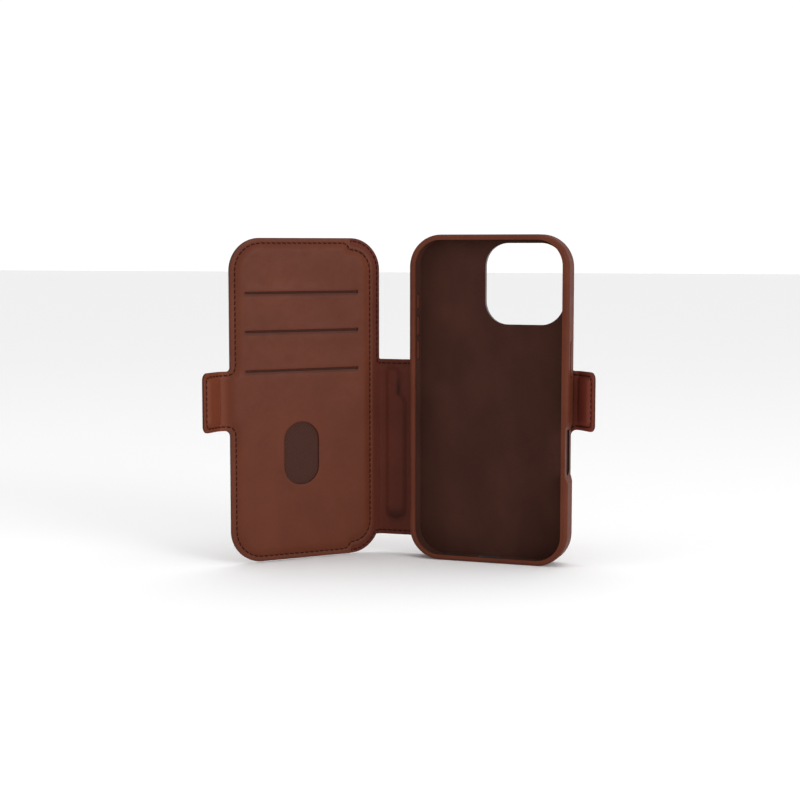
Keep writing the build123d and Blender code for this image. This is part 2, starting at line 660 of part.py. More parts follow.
# ---------------------------------------------------------------- closing tabs
class Tab:
    """A closing tab: a strip that leaves its hinge straight, bends once and runs straight to its tip.

    Profiles are drawn across the strip, X along it from the hinge and Y towards its inner side.
    """

    def __init__(self, profile_plane, tail_direction, inner_direction, bend, bend_radius, tail):
        self.profile_plane = profile_plane
        self.bend = bend
        self.bend_radius = bend_radius
        self.tail = tail
        turn = radians(bend)
        along = TAB_LEAD + bend_radius * sin(turn)
        inward = bend_radius * (1 - cos(turn))
        origin = profile_plane.from_local_coords(Vector(along, inward, 0))
        self.tail_plane = Plane(
            origin=(origin.X, origin.Y, TAB_Z), x_dir=tail_direction, z_dir=inner_direction
        )

    def strip(self, low, high):
        """Layer of the strip between two levels, counted inward from the middle of the hide."""
        turn = radians(self.bend)
        centre = (TAB_LEAD, self.bend_radius)
        tips = []
        for level in (low, high):
            reach = self.bend_radius - level
            tips.append(
                (
                    centre[0] + reach * sin(turn) + self.tail * cos(turn),
                    centre[1] - reach * cos(turn) + self.tail * sin(turn),
                )
            )
        with BuildPart() as layer:
            with BuildSketch(self.profile_plane):
                with BuildLine():
                    Line((TAB_GAP, high), (TAB_GAP, low))
                    Line((TAB_GAP, low), (TAB_LEAD, low))
                    outer = CenterArc(centre, self.bend_radius - low, -90, self.bend)
                    Line(outer @ 1, tips[0])
                    Line(tips[0], tips[1])
                    inner = CenterArc(centre, self.bend_radius - high, -90, self.bend)
                    Line(tips[1], inner @ 1)
                    Line((TAB_LEAD, high), (TAB_GAP, high))
                make_face()
            extrude(amount=TAB_H)
            beyond_tip = self.tail_plane.from_local_coords((2 * self.tail, 0, (low + high) / 2))
            tip_face = layer.faces().sort_by_distance(beyond_tip)[0]
            corners = tip_face.edges().filter_by(lambda edge: edge.length < TAB_H / 2)
            fillet(corners, TAB_R)
        return layer.part

    def pad(self, grow, level):
        """Outline of the magnet pad on the straight tail."""
        length = self.tail - TAB_PAD_START - TAB_PAD_END
        height = TAB_H - 2 * TAB_PAD_SIDE
        with BuildSketch(self.tail_plane.offset(level)) as outline:
            with Locations((TAB_PAD_START + length / 2, 0)):
                RectangleRounded(length + 2 * grow, height + 2 * grow, TAB_PAD_R + grow)
        return outline.sketch

    def seam(self, level):
        """Stitch line round three sides of the pad, open towards the root."""
        length = self.tail - TAB_SEAM_INSET
        height = TAB_H - 2 * TAB_SEAM_INSET
        inner_r = TAB_SEAM_R - SEAM_W
        with BuildSketch(self.tail_plane.offset(level)) as loop:
            with Locations((length / 2, 0)):
                RectangleRounded(length, height, TAB_SEAM_R)
                RectangleRounded(length - 2 * SEAM_W, height - 2 * SEAM_W, inner_r, mode=Mode.SUBTRACT)
            Rectangle(2 * TAB_SEAM_R, TAB_H, mode=Mode.SUBTRACT)
        return loop.sketch


cover_turn = radians(COVER_ANGLE)
cover_tip_turn = radians(COVER_ANGLE + COVER_TAB_BEND)
cover_tab = Tab(
    Plane(
        origin=(
            FOLD_2[0] - COVER_TAB_HINGE * cos(cover_turn),
            FOLD_2[1] - COVER_TAB_HINGE * sin(cover_turn),
            TAB_Z0,
        ),
        x_dir=(-cos(cover_turn), -sin(cover_turn), 0),
        z_dir=(0, 0, 1),
    ),
    (-cos(cover_tip_turn), -sin(cover_tip_turn), 0),
    (sin(cover_tip_turn), -cos(cover_tip_turn), 0),
    COVER_TAB_BEND,
    COVER_TAB_BEND_R,
    COVER_TAB_TAIL,
)
back_tip_turn = radians(BACK_TAB_BEND)
back_tab = Tab(
    Plane(
        origin=(SHELL_X + BACK_TAB_HINGE, SHELL_Y + HIDE_MID_Y, TAB_Z1),
        x_dir=(1, 0, 0),
        z_dir=(0, 0, -1),
    ),
    (cos(back_tip_turn), -sin(back_tip_turn), 0),
    (-sin(back_tip_turn), -cos(back_tip_turn), 0),
    BACK_TAB_BEND,
    BACK_TAB_BEND_R,
    BACK_TAB_TAIL,
)

tab_parts = {}
for tab_name, tab in (("cover_tab", cover_tab), ("back_tab", back_tab)):
    with BuildPart() as tab_leather:
        add(tab.strip(-HIDE / 2, HIDE / 2))
    with BuildPart() as tab_magnet:
        extrude(tab.pad(0, HIDE / 2), amount=MAGNET_T)
    with BuildPart() as tab_thread:
        extrude(tab.seam(HIDE / 2 + LINING - SEAM_DEPTH), amount=SEAM_DEPTH)
    with BuildPart() as tab_lining:
        add(tab.strip(HIDE / 2, HIDE / 2 + LINING))
        extrude(tab.pad(LINING, HIDE / 2), amount=MAGNET_T + LINING)
        add(tab_magnet.part, mode=Mode.SUBTRACT)
        add(tab_thread.part, mode=Mode.SUBTRACT)
    pieces = {"leather": tab_leather, "magnet": tab_magnet, "thread": tab_thread, "lining": tab_lining}
    for piece_name, piece in pieces.items():
        piece.part.label = f"{tab_name}_{piece_name}"
        tab_parts[piece.part.label] = piece.part

# ---------------------------------------------------------------- one STEP per piece
os.makedirs("parts", exist_ok=True)
export_step(shell_tray.part, "parts/shell_tray.step")
export_step(shell_leather.part, "parts/shell_leather.step")
export_step(shell_lining.part, "parts/shell_lining.step")
export_step(shell_steel_plate.part, "parts/shell_steel_plate.step")
export_step(camera_ring.part, "parts/camera_ring.step")
export_step(back_leather.part, "parts/back_leather.step")
export_step(back_board.part, "parts/back_board.step")
export_step(back_magnets.part, "parts/back_magnets.step")
export_step(back_lining.part, "parts/back_lining.step")
export_step(back_thread.part, "parts/back_thread.step")
export_step(spine_leather.part, "parts/spine_leather.step")
export_step(spine_board.part, "parts/spine_board.step")
export_step(spine_lining.part, "parts/spine_lining.step")
export_step(spine_thread.part, "parts/spine_thread.step")
export_step(cover_leather.part, "parts/cover_leather.step")
export_step(cover_board.part, "parts/cover_board.step")
export_step(cover_lining.part, "parts/cover_lining.step")
export_step(cover_thread.part, "parts/cover_thread.step")
export_step(pocket_backing.part, "parts/pocket_backing.step")
export_step(pocket_face.part, "parts/pocket_face.step")
export_step(pocket_thread.part, "parts/pocket_thread.step")
for group in (key_parts, divider_parts, tab_parts):
    for part_name, part in group.items():
        export_step(part, f"parts/{part_name}.step")
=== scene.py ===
"""Looks of the wallet folio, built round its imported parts: leather, cloth, stitches and a studio.

The folio is laid out flat and then bent into shape. In the flat layout u runs to the left from the
fold between back leaf and spine, z runs up, and n runs inward from the middle of the outer hide,
all in millimetres. Meshes are scaled to metres when they are made.
"""

import json
from math import atan2, ceil, cos, pi, radians, sin, tan

import bmesh
import bpy
import numpy as np
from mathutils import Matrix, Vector, noise
from mathutils.geometry import delaunay_2d_cdt
from mathutils.kdtree import KDTree


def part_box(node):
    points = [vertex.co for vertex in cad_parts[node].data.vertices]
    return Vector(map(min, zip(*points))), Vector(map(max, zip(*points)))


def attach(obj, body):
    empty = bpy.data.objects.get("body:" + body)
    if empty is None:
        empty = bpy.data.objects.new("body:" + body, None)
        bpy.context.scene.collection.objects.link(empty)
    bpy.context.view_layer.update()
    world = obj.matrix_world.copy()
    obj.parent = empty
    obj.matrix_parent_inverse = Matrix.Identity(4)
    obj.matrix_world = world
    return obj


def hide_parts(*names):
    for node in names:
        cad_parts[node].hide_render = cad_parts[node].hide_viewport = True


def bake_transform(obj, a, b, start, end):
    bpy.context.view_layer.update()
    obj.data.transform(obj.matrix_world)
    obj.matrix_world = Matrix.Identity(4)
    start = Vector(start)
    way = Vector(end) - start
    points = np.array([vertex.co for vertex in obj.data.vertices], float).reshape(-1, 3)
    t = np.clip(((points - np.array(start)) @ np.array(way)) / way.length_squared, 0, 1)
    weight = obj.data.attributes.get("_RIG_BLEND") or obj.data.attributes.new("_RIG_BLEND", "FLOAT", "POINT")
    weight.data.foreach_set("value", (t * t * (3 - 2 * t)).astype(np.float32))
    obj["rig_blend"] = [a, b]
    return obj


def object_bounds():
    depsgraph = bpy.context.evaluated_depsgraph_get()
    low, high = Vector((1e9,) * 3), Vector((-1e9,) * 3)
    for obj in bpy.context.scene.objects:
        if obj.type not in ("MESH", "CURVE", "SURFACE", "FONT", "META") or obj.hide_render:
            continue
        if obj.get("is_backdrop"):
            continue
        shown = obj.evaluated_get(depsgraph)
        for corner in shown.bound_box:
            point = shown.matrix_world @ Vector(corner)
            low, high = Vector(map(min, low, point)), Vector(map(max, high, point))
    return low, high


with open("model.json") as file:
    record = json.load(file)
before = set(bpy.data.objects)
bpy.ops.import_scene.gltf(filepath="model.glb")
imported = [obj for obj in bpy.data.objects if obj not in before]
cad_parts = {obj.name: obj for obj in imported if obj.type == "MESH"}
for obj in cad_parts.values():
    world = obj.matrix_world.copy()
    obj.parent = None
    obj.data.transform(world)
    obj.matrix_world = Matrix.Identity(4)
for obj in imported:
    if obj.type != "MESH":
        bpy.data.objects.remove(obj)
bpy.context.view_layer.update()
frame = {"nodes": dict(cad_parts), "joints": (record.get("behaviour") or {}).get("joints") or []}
nodes = frame["nodes"]
MM = 0.001

# -------- sizes, in millimetres
HIDE = 0.9
LINING = 0.5
LAYER_GAP = 0.02
COVER_BOARD = 0.6
BACK_BOARD = 0.9
LEAF_R = 15.2
COVER_START = 1.3
COVER_W = 77.0
BACK_START = 1.5
BACK_W = 76.1
FOLD_R = 3.0
ROOT_R_TOP = 1.6
ROOT_R_LOW = 2.8
TAB_R = 3.2
TAB_LEAD = 1.0
COVER_TAB_BEND_R = 5.0
COVER_TAB_TAIL = 11.0
BACK_TAB_BEND_R = 4.0
BACK_TAB_TAIL = 11.0
TAB_LEVEL = HIDE / 2 + LINING
MAGNET_RISE = 0.95
MAGNET_HALF = 10.8
MAGNET_R = 1.6

# Levels of the visible inner surfaces
RIM_LINING = 1.03
COVER_LINING_LEVEL = 1.45
BACK_LINING_LEVEL = 1.75
RIM_FACE = 1.75
FACE_LEVEL = 2.62
FACE_T = 0.7
FACE_RIPPLE = 0.07
LINING_RIPPLE = 0.03
HIDE_EDGE_LEVEL = HIDE / 2 - 0.14
HIDE_RISE = 0.17
HIDE_RIPPLE = 0.03
LIP_RISE = 0.14
LIP_DIP = 0.34

# Pocket face: its spine side, the steps to the cover's edge, slits and thumb window
FACE_START = 5.0
FACE_STEP = 17.0
SLIT_Z = (127.0, 109.0, 90.6)
SLIT_MID = 42.3
SLIT_L = 57.8
SLIT_H = 0.8
SLIT_RELIEF = 0.8
DIP_H = 2.0
THUMB_MID = 43.1
THUMB_Z = 51.0
THUMB_W = 17.6
THUMB_H = 29.8

# Raised stiffener of the spine
PAD_U0 = 4.8
PAD_U1 = 12.6
PAD_R = 4.2
PAD_Z0 = 16.4
PAD_Z1 = 77.0
PAD_NECK_W = 4.6
PAD_NECK_U0 = PAD_U1 - PAD_NECK_W
PAD_NECK_Z1 = 89.3
PAD_NECK_R = 1.2
PAD_RISE = 1.0
PAD_WRINKLE = 0.09
PAD_VALLEY = 0.16
# Strengths of the painted shade round the stiffener
VALLEY_SHADE = 0.38
FOOT_SHADE = 1.4
SHOULDER_SHADE = 1.5

# Camera window of the back leaf
WINDOW_X = 15.0
WINDOW_Z = 131.0
WINDOW_SIZE = 39.0
WINDOW_R = 11.5
WINDOW_SEAM_GAP = 2.1

# Holes in the shell's wall, measured from its back
RECESS_Z = 53.4
RECESS_BACK = 5.6
RECESS_L = 21.4
RECESS_W = 5.4
KEY_GAP = 0.35
FLANGE_RIM = 0.8
HOLE_MARGIN = 0.12

# Seams
SEAM_INSET = 2.4
SPINE_SEAM_INSET = 1.9
EDGE_SEAM_INSET = 1.35
TAB_SEAM_INSET = 1.9
TAB_TIP_SEAM = 2.0
BACK_SEAM_INSET = 1.4
FACE_SEAM_START = 6.8
PITCH = 2.6
THREAD_R = 0.27
STITCH_SHARE = 0.64
STITCH_SINK = 0.12
VALLEY_DEPTH = 0.09
HOLE_DEPTH = 0.26
STRIP_SEAM_END = 0.6

# Mesh fineness
STEP = 1.3
BEND_STEP = 0.4
EDGE_R = 0.3
ARC_STEP = 0.8
LINE_STEP = 1.0
SEAM_CLEARANCE = 0.22
GRID_CLEARANCE = 0.55
SHARP_ANGLE = 55
SEAM_ROWS = (0.32, 0.75)
SEAM_LINE_PACE = 0.65
POINTS_PER_STITCH = 6


# -------- flat layout and its bends
def pivot(joint_name):
    """Axis of a joint, seen from above, in millimetres."""
    joint = next(j for j in frame["joints"] if j["name"] == joint_name)
    return Vector(joint["pos_m"][:2]) * 1000


FOLD_1 = pivot("spine_fold")
FOLD_2 = pivot("cover_fold")
COVER_HINGE = pivot("cover_tab_flex")
BACK_HINGE = pivot("back_tab_flex")
SPINE_W = (FOLD_2 - FOLD_1).length
SPINE_TURN = atan2(-(FOLD_2 - FOLD_1).y, -(FOLD_2 - FOLD_1).x)
COVER_TURN = atan2(-(COVER_HINGE - FOLD_2).y, -(COVER_HINGE - FOLD_2).x) - SPINE_TURN
COVER_TAB_BEND = radians(36.0)
BACK_TAB_BEND = radians(45.0)
MID_BACK = -30.0

U_COVER = SPINE_W + COVER_START
U_FREE = U_COVER + COVER_W
U_COVER_BEND = SPINE_W + (COVER_HINGE - FOLD_2).length + TAB_LEAD
U_COVER_TIP = U_COVER_BEND + COVER_TAB_BEND_R * COVER_TAB_BEND + COVER_TAB_TAIL
TAB_RAMP = (U_FREE - 2.6, U_FREE + 3.4)
SLIT_START = SPINE_W + SLIT_MID - SLIT_L / 2
SLIT_END = SLIT_START + SLIT_L
U_BACK = -BACK_START
U_BACK_FREE = -BACK_START - BACK_W
U_BACK_BEND = FOLD_1.x - BACK_HINGE.x - TAB_LEAD
U_BACK_TAIL = U_BACK_BEND - BACK_TAB_BEND_R * BACK_TAB_BEND
U_BACK_TIP = U_BACK_TAIL - BACK_TAB_TAIL

SHELL_LOW, SHELL_HIGH = (corner * 1000 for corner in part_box("shell_leather"))
SHELL_MID = (SHELL_LOW.x + SHELL_HIGH.x) / 2
COVER_Z0, COVER_Z1 = (corner.z * 1000 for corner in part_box("cover_leather"))
BACK_Z1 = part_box("back_leather")[1].z * 1000
SPINE_Z0, SPINE_Z1 = (corner.z * 1000 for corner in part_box("spine_leather"))
TAB_Z0, TAB_Z1 = (corner.z * 1000 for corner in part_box("cover_tab_leather"))
TAB_MID = (TAB_Z0 + TAB_Z1) / 2


def fold_run(turn):
    """Length along u, turn and radius of a fold between two straight runs."""
    return (2 * FOLD_R * tan(turn / 2), turn, FOLD_R)


def leftward(heading):
    """Direction to the left of a heading."""
    return Vector((-sin(heading), cos(heading)))


def make_spans(start, heading, side, runs):
    """Straight runs and bends in order: where each starts, which way it heads and how it turns."""
    spans = []
    at = 0.0
    point = Vector(start)
    for length, turn, radius in runs:
        spans.append((at, length, point.copy(), heading, turn, radius))
        at += length
        if turn == 0:
            point += Vector((cos(heading), sin(heading))) * length
        else:
            centre = point + leftward(heading) * side * radius
            heading += side * turn
            point = centre - leftward(heading) * side * radius
    return spans


FOLD_1_RUN = fold_run(SPINE_TURN)
FOLD_2_RUN = fold_run(COVER_TURN)
LEFT_SPANS = make_spans(
    (FOLD_1.x - MID_BACK, FOLD_1.y),
    pi,
    1,
    [
        (-MID_BACK - FOLD_1_RUN[0] / 2, 0, 0),
        FOLD_1_RUN,
        (SPINE_W - FOLD_1_RUN[0] / 2 - FOLD_2_RUN[0] / 2, 0, 0),
        FOLD_2_RUN,
        (U_COVER_BEND - SPINE_W - FOLD_2_RUN[0] / 2, 0, 0),
        (COVER_TAB_BEND_R * COVER_TAB_BEND, COVER_TAB_BEND, COVER_TAB_BEND_R),
        (COVER_TAB_TAIL, 0, 0),
    ],
)
RIGHT_SPANS = make_spans(
    (FOLD_1.x - MID_BACK, FOLD_1.y),
    0,
    -1,
    [
        (MID_BACK - U_BACK_BEND, 0, 0),
        (BACK_TAB_BEND_R * BACK_TAB_BEND, BACK_TAB_BEND, BACK_TAB_BEND_R),
        (BACK_TAB_TAIL, 0, 0),
    ],
)


def place(u, z, n):
    """Points of the flat layout, bent into the standing case, in millimetres."""
    u, z, n = (np.asarray(v, float) for v in (u, z, n))
    out = np.zeros(u.shape + (3,))
    out[..., 2] = z
    for side, spans, along in ((1, LEFT_SPANS, u - MID_BACK), (-1, RIGHT_SPANS, MID_BACK - u)):
        for number, (at, length, point, heading, turn, radius) in enumerate(spans):
            inside = (along >= at) & (along <= at + length)
            if number == len(spans) - 1:
                inside = along >= at
            run = along[inside] - at
            if turn == 0:
                angle = np.full(run.shape, heading)
                x = point.x + cos(heading) * run
                y = point.y + sin(heading) * run
            else:
                angle = heading + side * turn * run / length
                centre = point + leftward(heading) * side * radius
                x = centre.x + side * radius * np.sin(angle)
                y = centre.y - side * radius * np.cos(angle)
            out[inside, 0] = x - side * n[inside] * np.sin(angle)
            out[inside, 1] = y + side * n[inside] * np.cos(angle)
    return out


BEND_ZONES = (
    (-3.5, 3.5),
    (SPINE_W - 4.0, SPINE_W + 2.5),
    (U_FREE - 1.0, U_COVER_BEND + COVER_TAB_BEND_R * COVER_TAB_BEND + 0.5),
    (U_BACK_TAIL - 0.5, U_BACK_FREE + 1.0),
)


def step_at(u):
    """Mesh spacing along u: finer where the sheet bends."""
    return BEND_STEP if any(low <= u <= high for low, high in BEND_ZONES) else STEP


# -------- outlines in the flat layout
def rounded(corners):
    """Closed outline through corners (u, z, radius), each rounded by its radius."""
    points = []
    for index, (u, z, radius) in enumerate(corners):
        corner = Vector((u, z))
        before = (Vector(corners[index - 1][:2]) - corner).normalized()
        after = (Vector(corners[(index + 1) % len(corners)][:2]) - corner).normalized()
        if radius == 0:
            points.append(corner)
            continue
        half = before.angle(after) / 2
        centre = corner + (before + after).normalized() * (radius / sin(half))
        first = corner + before * (radius / tan(half)) - centre
        last = corner + after * (radius / tan(half)) - centre
        start = atan2(first.y, first.x)
        turn = (atan2(last.y, last.x) - start + pi) % (2 * pi) - pi
        count = max(4, ceil(abs(turn) * radius / ARC_STEP))
        for k in range(count + 1):
            angle = start + turn * k / count
            points.append(centre + Vector((cos(angle), sin(angle))) * radius)
    return points


def arc(centre, radius, start, end):
    """Corners of no radius along an arc, for a stretch that stops inside a rounded corner."""
    count = max(3, ceil(abs(radians(end - start)) * radius / LINE_STEP))
    angles = [radians(start + (end - start) * k / count) for k in range(count + 1)]
    return [(centre[0] + radius * cos(a), centre[1] + radius * sin(a), 0) for a in angles]


def divided(points, closed=True):
    """The same line with its long stretches divided, finely where the sheet bends."""
    out = []
    count = len(points) if closed else len(points) - 1
    for index in range(count):
        a = Vector(points[index])
        b = Vector(points[(index + 1) % len(points)])
        out.append(a)
        along = b - a
        at = 0.0
        while True:
            at += min(step_at((a + along.normalized() * at).x), LINE_STEP)
            if at >= along.length - 0.2:
                break
            out.append(a + along.normalized() * at)
    if not closed:
        out.append(Vector(points[-1]))
    return np.array(out)


def unit(rows):
    """Each row scaled to a length of 1."""
    return rows / np.linalg.norm(rows, axis=1)[:, None]


def turned(points, counter_clockwise):
    """The outline in the wanted direction."""
    after = np.roll(points, -1, 0)
    area = np.sum(points[:, 0] * after[:, 1] - after[:, 0] * points[:, 1])
    return points if (area > 0) == counter_clockwise else points[::-1]


def shifted(points, distance, closed=True):
    """The line moved sideways, to the left of its direction."""
    ahead = np.roll(points, -1, 0) - points
    behind = points - np.roll(points, 1, 0)
    if not closed:
        ahead[-1] = behind[-1]
        behind[0] = ahead[0]
    ahead = unit(ahead)
    along = unit(ahead + unit(behind))
    share = np.clip(np.sum(along * ahead, axis=1), 0.5, 1)[:, None]
    return points + np.stack([-along[:, 1], along[:, 0]], 1) * distance / share


def inside(points, loop):
    """Which points lie inside a closed outline."""
    result = np.zeros(len(points), bool)
    for a, b in zip(loop, np.roll(loop, -1, 0)):
        crosses = (a[1] > points[:, 1]) != (b[1] > points[:, 1])
        if not crosses.any():
            continue
        at = (b[0] - a[0]) * (points[:, 1] - a[1]) / (b[1] - a[1] + 1e-12) + a[0]
        result ^= crosses & (points[:, 0] < at)
    return result


def within(points, loops):
    """Which points lie inside the first outline and outside the others."""
    good = inside(points, loops[0])
    for hole in loops[1:]:
        good &= ~inside(points, hole)
    return good


def paced(points, pace, closed=True, count=None):
    """Points evenly along a line, at about a pace or in a count of steps."""
    line = np.vstack([points, points[:1]]) if closed else points
    lengths = np.concatenate([[0], np.cumsum(np.linalg.norm(np.diff(line, axis=0), axis=1))])
    count = count or max(1, round(lengths[-1] / pace))
    at = np.linspace(0, lengths[-1], count + 1)
    out = np.stack([np.interp(at, lengths, line[:, k]) for k in (0, 1)], 1)
    return out[:-1] if closed else out


def nearest(points, targets):
    """Distance from each point to the nearest of the targets."""
    tree = KDTree(len(targets))
    for index, target in enumerate(targets):
        tree.insert((target[0], target[1], 0), index)
    tree.balance()
    return np.array([tree.find((p[0], p[1], 0))[2] for p in points])


def smooth(value, low, high):
    """0 below low, 1 above high, with an even slope between them."""
    t = np.clip((np.asarray(value, float) - low) / (high - low), 0, 1)
    return t * t * (3 - 2 * t)


def bell(value, width):
    """1 where the value is 0, falling off over a width on both sides."""
    return np.exp(-((value / width) ** 2))


def depth(u, z, u0, u1, z0, z1, radius):
    """How far inside a rounded rectangle a point is, negative outside."""
    du = np.abs(u - (u0 + u1) / 2) - (abs(u1 - u0) / 2 - radius)
    dz = np.abs(z - (z0 + z1) / 2) - ((z1 - z0) / 2 - radius)
    outside = np.hypot(np.maximum(du, 0), np.maximum(dz, 0))
    return radius - outside - np.minimum(np.maximum(du, dz), 0)


def ripple(u, z, scale, seed):
    """Gentle unevenness of a soft sheet, from -1 to 1."""
    return np.array([noise.noise(Vector((a / scale, b / scale, seed))) for a, b in zip(u, z)])


# -------- outlines of the sheets
COVER_RECT = (U_COVER, U_FREE, COVER_Z0, COVER_Z1, LEAF_R)
BACK_RECT = (U_BACK_FREE, U_BACK, 0.0, BACK_Z1, LEAF_R)


def corner_cut(edge, bottom, radius, height, inward):
    """Arc of a leaf's bottom corner beside the spine, from its lowest point up to a height."""
    centre = (edge + inward * radius, bottom + radius)
    end = np.degrees(np.arcsin((height - centre[1]) / radius))
    if inward > 0:
        return arc(centre, radius, 270, 180 - end)
    return arc(centre, radius, -90, end)


def tab_corners(free, tip, inset, tip_inset, way):
    """Corners round a closing tab, from its top root to its bottom root."""
    top = TAB_Z1 - inset
    low = TAB_Z0 + inset
    tip = tip - way * tip_inset
    tip_r = max(TAB_R - inset, 1.2)
    return [
        (free, top, ROOT_R_TOP + inset),
        (tip, top, tip_r),
        (tip, low, tip_r),
        (free, low, ROOT_R_LOW + inset / 2),
    ]


def folio_corners(
    inset=0, back_inset=0, spine_inset=0, edge_inset=0, tab_inset=0, tip_inset=0, cover_tab=True
):
    """Outline of the whole folio, or a line inside it, from the cover's top spine-side corner."""
    free = U_FREE - inset
    back_free = U_BACK_FREE + back_inset
    cover_r = LEAF_R - inset
    back_r = LEAF_R - back_inset
    edge_r = LEAF_R - edge_inset
    low = SPINE_Z0 + spine_inset
    top = SPINE_Z1 - spine_inset
    cover_edge = U_COVER + edge_inset
    back_edge = U_BACK - edge_inset
    corners = [(cover_edge, COVER_Z1 - inset, edge_r), (free, COVER_Z1 - inset, cover_r)]
    if cover_tab:
        corners += tab_corners(free, U_COVER_TIP, tab_inset, tip_inset, 1)
    corners.append((free, COVER_Z0 + inset, cover_r))
    corners += corner_cut(cover_edge, COVER_Z0 + inset, edge_r, low, 1)
    corners += corner_cut(back_edge, back_inset, edge_r, low, -1)[::-1]
    corners.append((back_free, back_inset, back_r))
    corners += tab_corners(back_free, U_BACK_TIP, tab_inset, tip_inset, -1)[::-1]
    corners += [
        (back_free, BACK_Z1 - back_inset, back_r),
        (back_edge, BACK_Z1 - back_inset, edge_r),
        (back_edge, top, 1.0),
        (cover_edge, top, 1.0),
    ]
    return corners


def panel_corners(inset, tab_inset, tip_inset, start, indent, outer_step, inner_step):
    """Outline of the pocket face with the closing tab's lining, or its stitch line.

    start is where its spine side lies, indent how far that side keeps from the cover's edges, and
    the steps are (u, radius) of the corners where the outline steps out to those edges.
    """
    free = U_FREE - inset
    free_r = LEAF_R - inset
    start_r = LEAF_R - indent
    top, low = COVER_Z1 - inset, COVER_Z0 + inset
    inner_top, inner_low = COVER_Z1 - indent, COVER_Z0 + indent
    return [
        (outer_step[0], top, outer_step[1]),
        (free, top, free_r),
        *tab_corners(free, U_COVER_TIP, tab_inset, tip_inset, 1),
        (free, low, free_r),
        (outer_step[0], low, outer_step[1]),
        (inner_step[0], inner_low, inner_step[1]),
        (start, inner_low, start_r),
        (start, inner_top, start_r),
        (inner_step[0], inner_top, inner_step[1]),
    ]


def opening(u, z, width, height, radius=None):
    """Outline of an opening: a rounded rectangle, or a slot with round ends if it has no radius."""
    radius = radius or min(width, height) / 2 - 0.001
    signs = ((-1, -1), (1, -1), (1, 1), (-1, 1))
    return rounded([(u + a * width / 2, z + b * height / 2, radius) for a, b in signs])


def slit_outline(z):
    """A card slit with a round relief hole at its spine end."""
    half = SLIT_H / 2
    mouth = np.degrees(np.arcsin(half / SLIT_RELIEF))
    ring = arc((SLIT_START + SLIT_RELIEF, z), SLIT_RELIEF, mouth, 360 - mouth)
    corner_r = half * 0.98
    return rounded([*ring, (SLIT_END, z - half, corner_r), (SLIT_END, z + half, corner_r)])


def slit_span(u):
    """1 between the ends of the card slits and 0 beyond them."""
    begun = smooth(u, SLIT_START - 0.5, SLIT_START + 0.7)
    return begun * (1 - smooth(u, SLIT_END - 0.4, SLIT_END + 0.9))


FOLIO_EDGE = rounded(folio_corners())
LINING_EDGE = rounded(folio_corners(cover_tab=False))
STEP_U = SPINE_W + FACE_STEP
INDENT = FACE_START - COVER_START
SEAM_INDENT = FACE_SEAM_START - COVER_START
FACE_EDGE = rounded(
    panel_corners(0, 0, 0, U_COVER + INDENT, INDENT, (STEP_U, 0.5), (STEP_U, 0.7))
)
FACE_SEAM = rounded(
    panel_corners(
        SEAM_INSET, TAB_SEAM_INSET, TAB_TIP_SEAM, SPINE_W + FACE_SEAM_START, SEAM_INDENT,
        (STEP_U + 2.0, 1.0), (STEP_U + 0.8, 1.0),
    )
)
WINDOW_U = FOLD_1.x - SHELL_MID - WINDOW_X
WINDOW_HALF = WINDOW_SIZE / 2
WINDOW_EDGE = opening(WINDOW_U, WINDOW_Z, WINDOW_SIZE, WINDOW_SIZE, WINDOW_R)
WINDOW_SEAM_U = WINDOW_U + WINDOW_HALF + WINDOW_SEAM_GAP
WINDOW_SEAM_Z = WINDOW_Z - WINDOW_HALF - WINDOW_SEAM_GAP
WINDOW_SEAM = rounded(
    [
        (WINDOW_SEAM_U, WINDOW_Z + WINDOW_HALF - 1, 0),
        (WINDOW_SEAM_U, WINDOW_SEAM_Z, WINDOW_R + WINDOW_SEAM_GAP),
        (WINDOW_U - WINDOW_HALF + 3, WINDOW_SEAM_Z, 0),
    ]
)
THUMB_EDGE = opening(SPINE_W + THUMB_MID, THUMB_Z, THUMB_W, THUMB_H)
FOLIO_SEAM = rounded(
    folio_corners(
        SEAM_INSET, BACK_SEAM_INSET, SPINE_SEAM_INSET, EDGE_SEAM_INSET, TAB_SEAM_INSET, TAB_TIP_SEAM
    )
)


def strip_seam(way):
    """Stitches of the bare strip: round the cover's corner, then along the spine's end."""
    start = SPINE_W + FACE_STEP + 1.2
    edge = U_COVER + EDGE_SEAM_INSET
    radius = LEAF_R - EDGE_SEAM_INSET
    if way > 0:
        side = COVER_Z1 - EDGE_SEAM_INSET
        height = SPINE_Z1 - SPINE_SEAM_INSET
        corner = [(edge, side, radius), (edge, height, 0.8)]
    else:
        side = COVER_Z0 + EDGE_SEAM_INSET
        height = SPINE_Z0 + SPINE_SEAM_INSET
        corner = corner_cut(edge, side, radius, height, 1)
    return rounded([(start, side, 0), *corner, (STRIP_SEAM_END, height, 0)])


def back_seam():
    """Stitches round the inside of the back leaf and its tab."""
    inset = BACK_SEAM_INSET
    radius = LEAF_R - inset
    free = U_BACK_FREE + inset
    return rounded(
        [
            (U_BACK - inset, inset, radius),
            (free, inset, radius),
            *tab_corners(free, U_BACK_TIP, TAB_SEAM_INSET, TAB_TIP_SEAM, -1)[::-1],
            (free, BACK_Z1 - inset, radius),
            (U_BACK - inset, BACK_Z1 - inset, radius),
        ]
    )


STRIP_SEAMS = [strip_seam(1), strip_seam(-1)]
BACK_SEAM = back_seam()


# -------- levels of the surfaces
def tab_pad(u, z, u0, u1):
    """Magnet under the lining of a closing tab."""
    heights = (TAB_MID - MAGNET_HALF, TAB_MID + MAGNET_HALF)
    inner = depth(u, z, min(u0, u1), max(u0, u1), *heights, MAGNET_R)
    return MAGNET_RISE * smooth(inner, -0.3, 0.9)


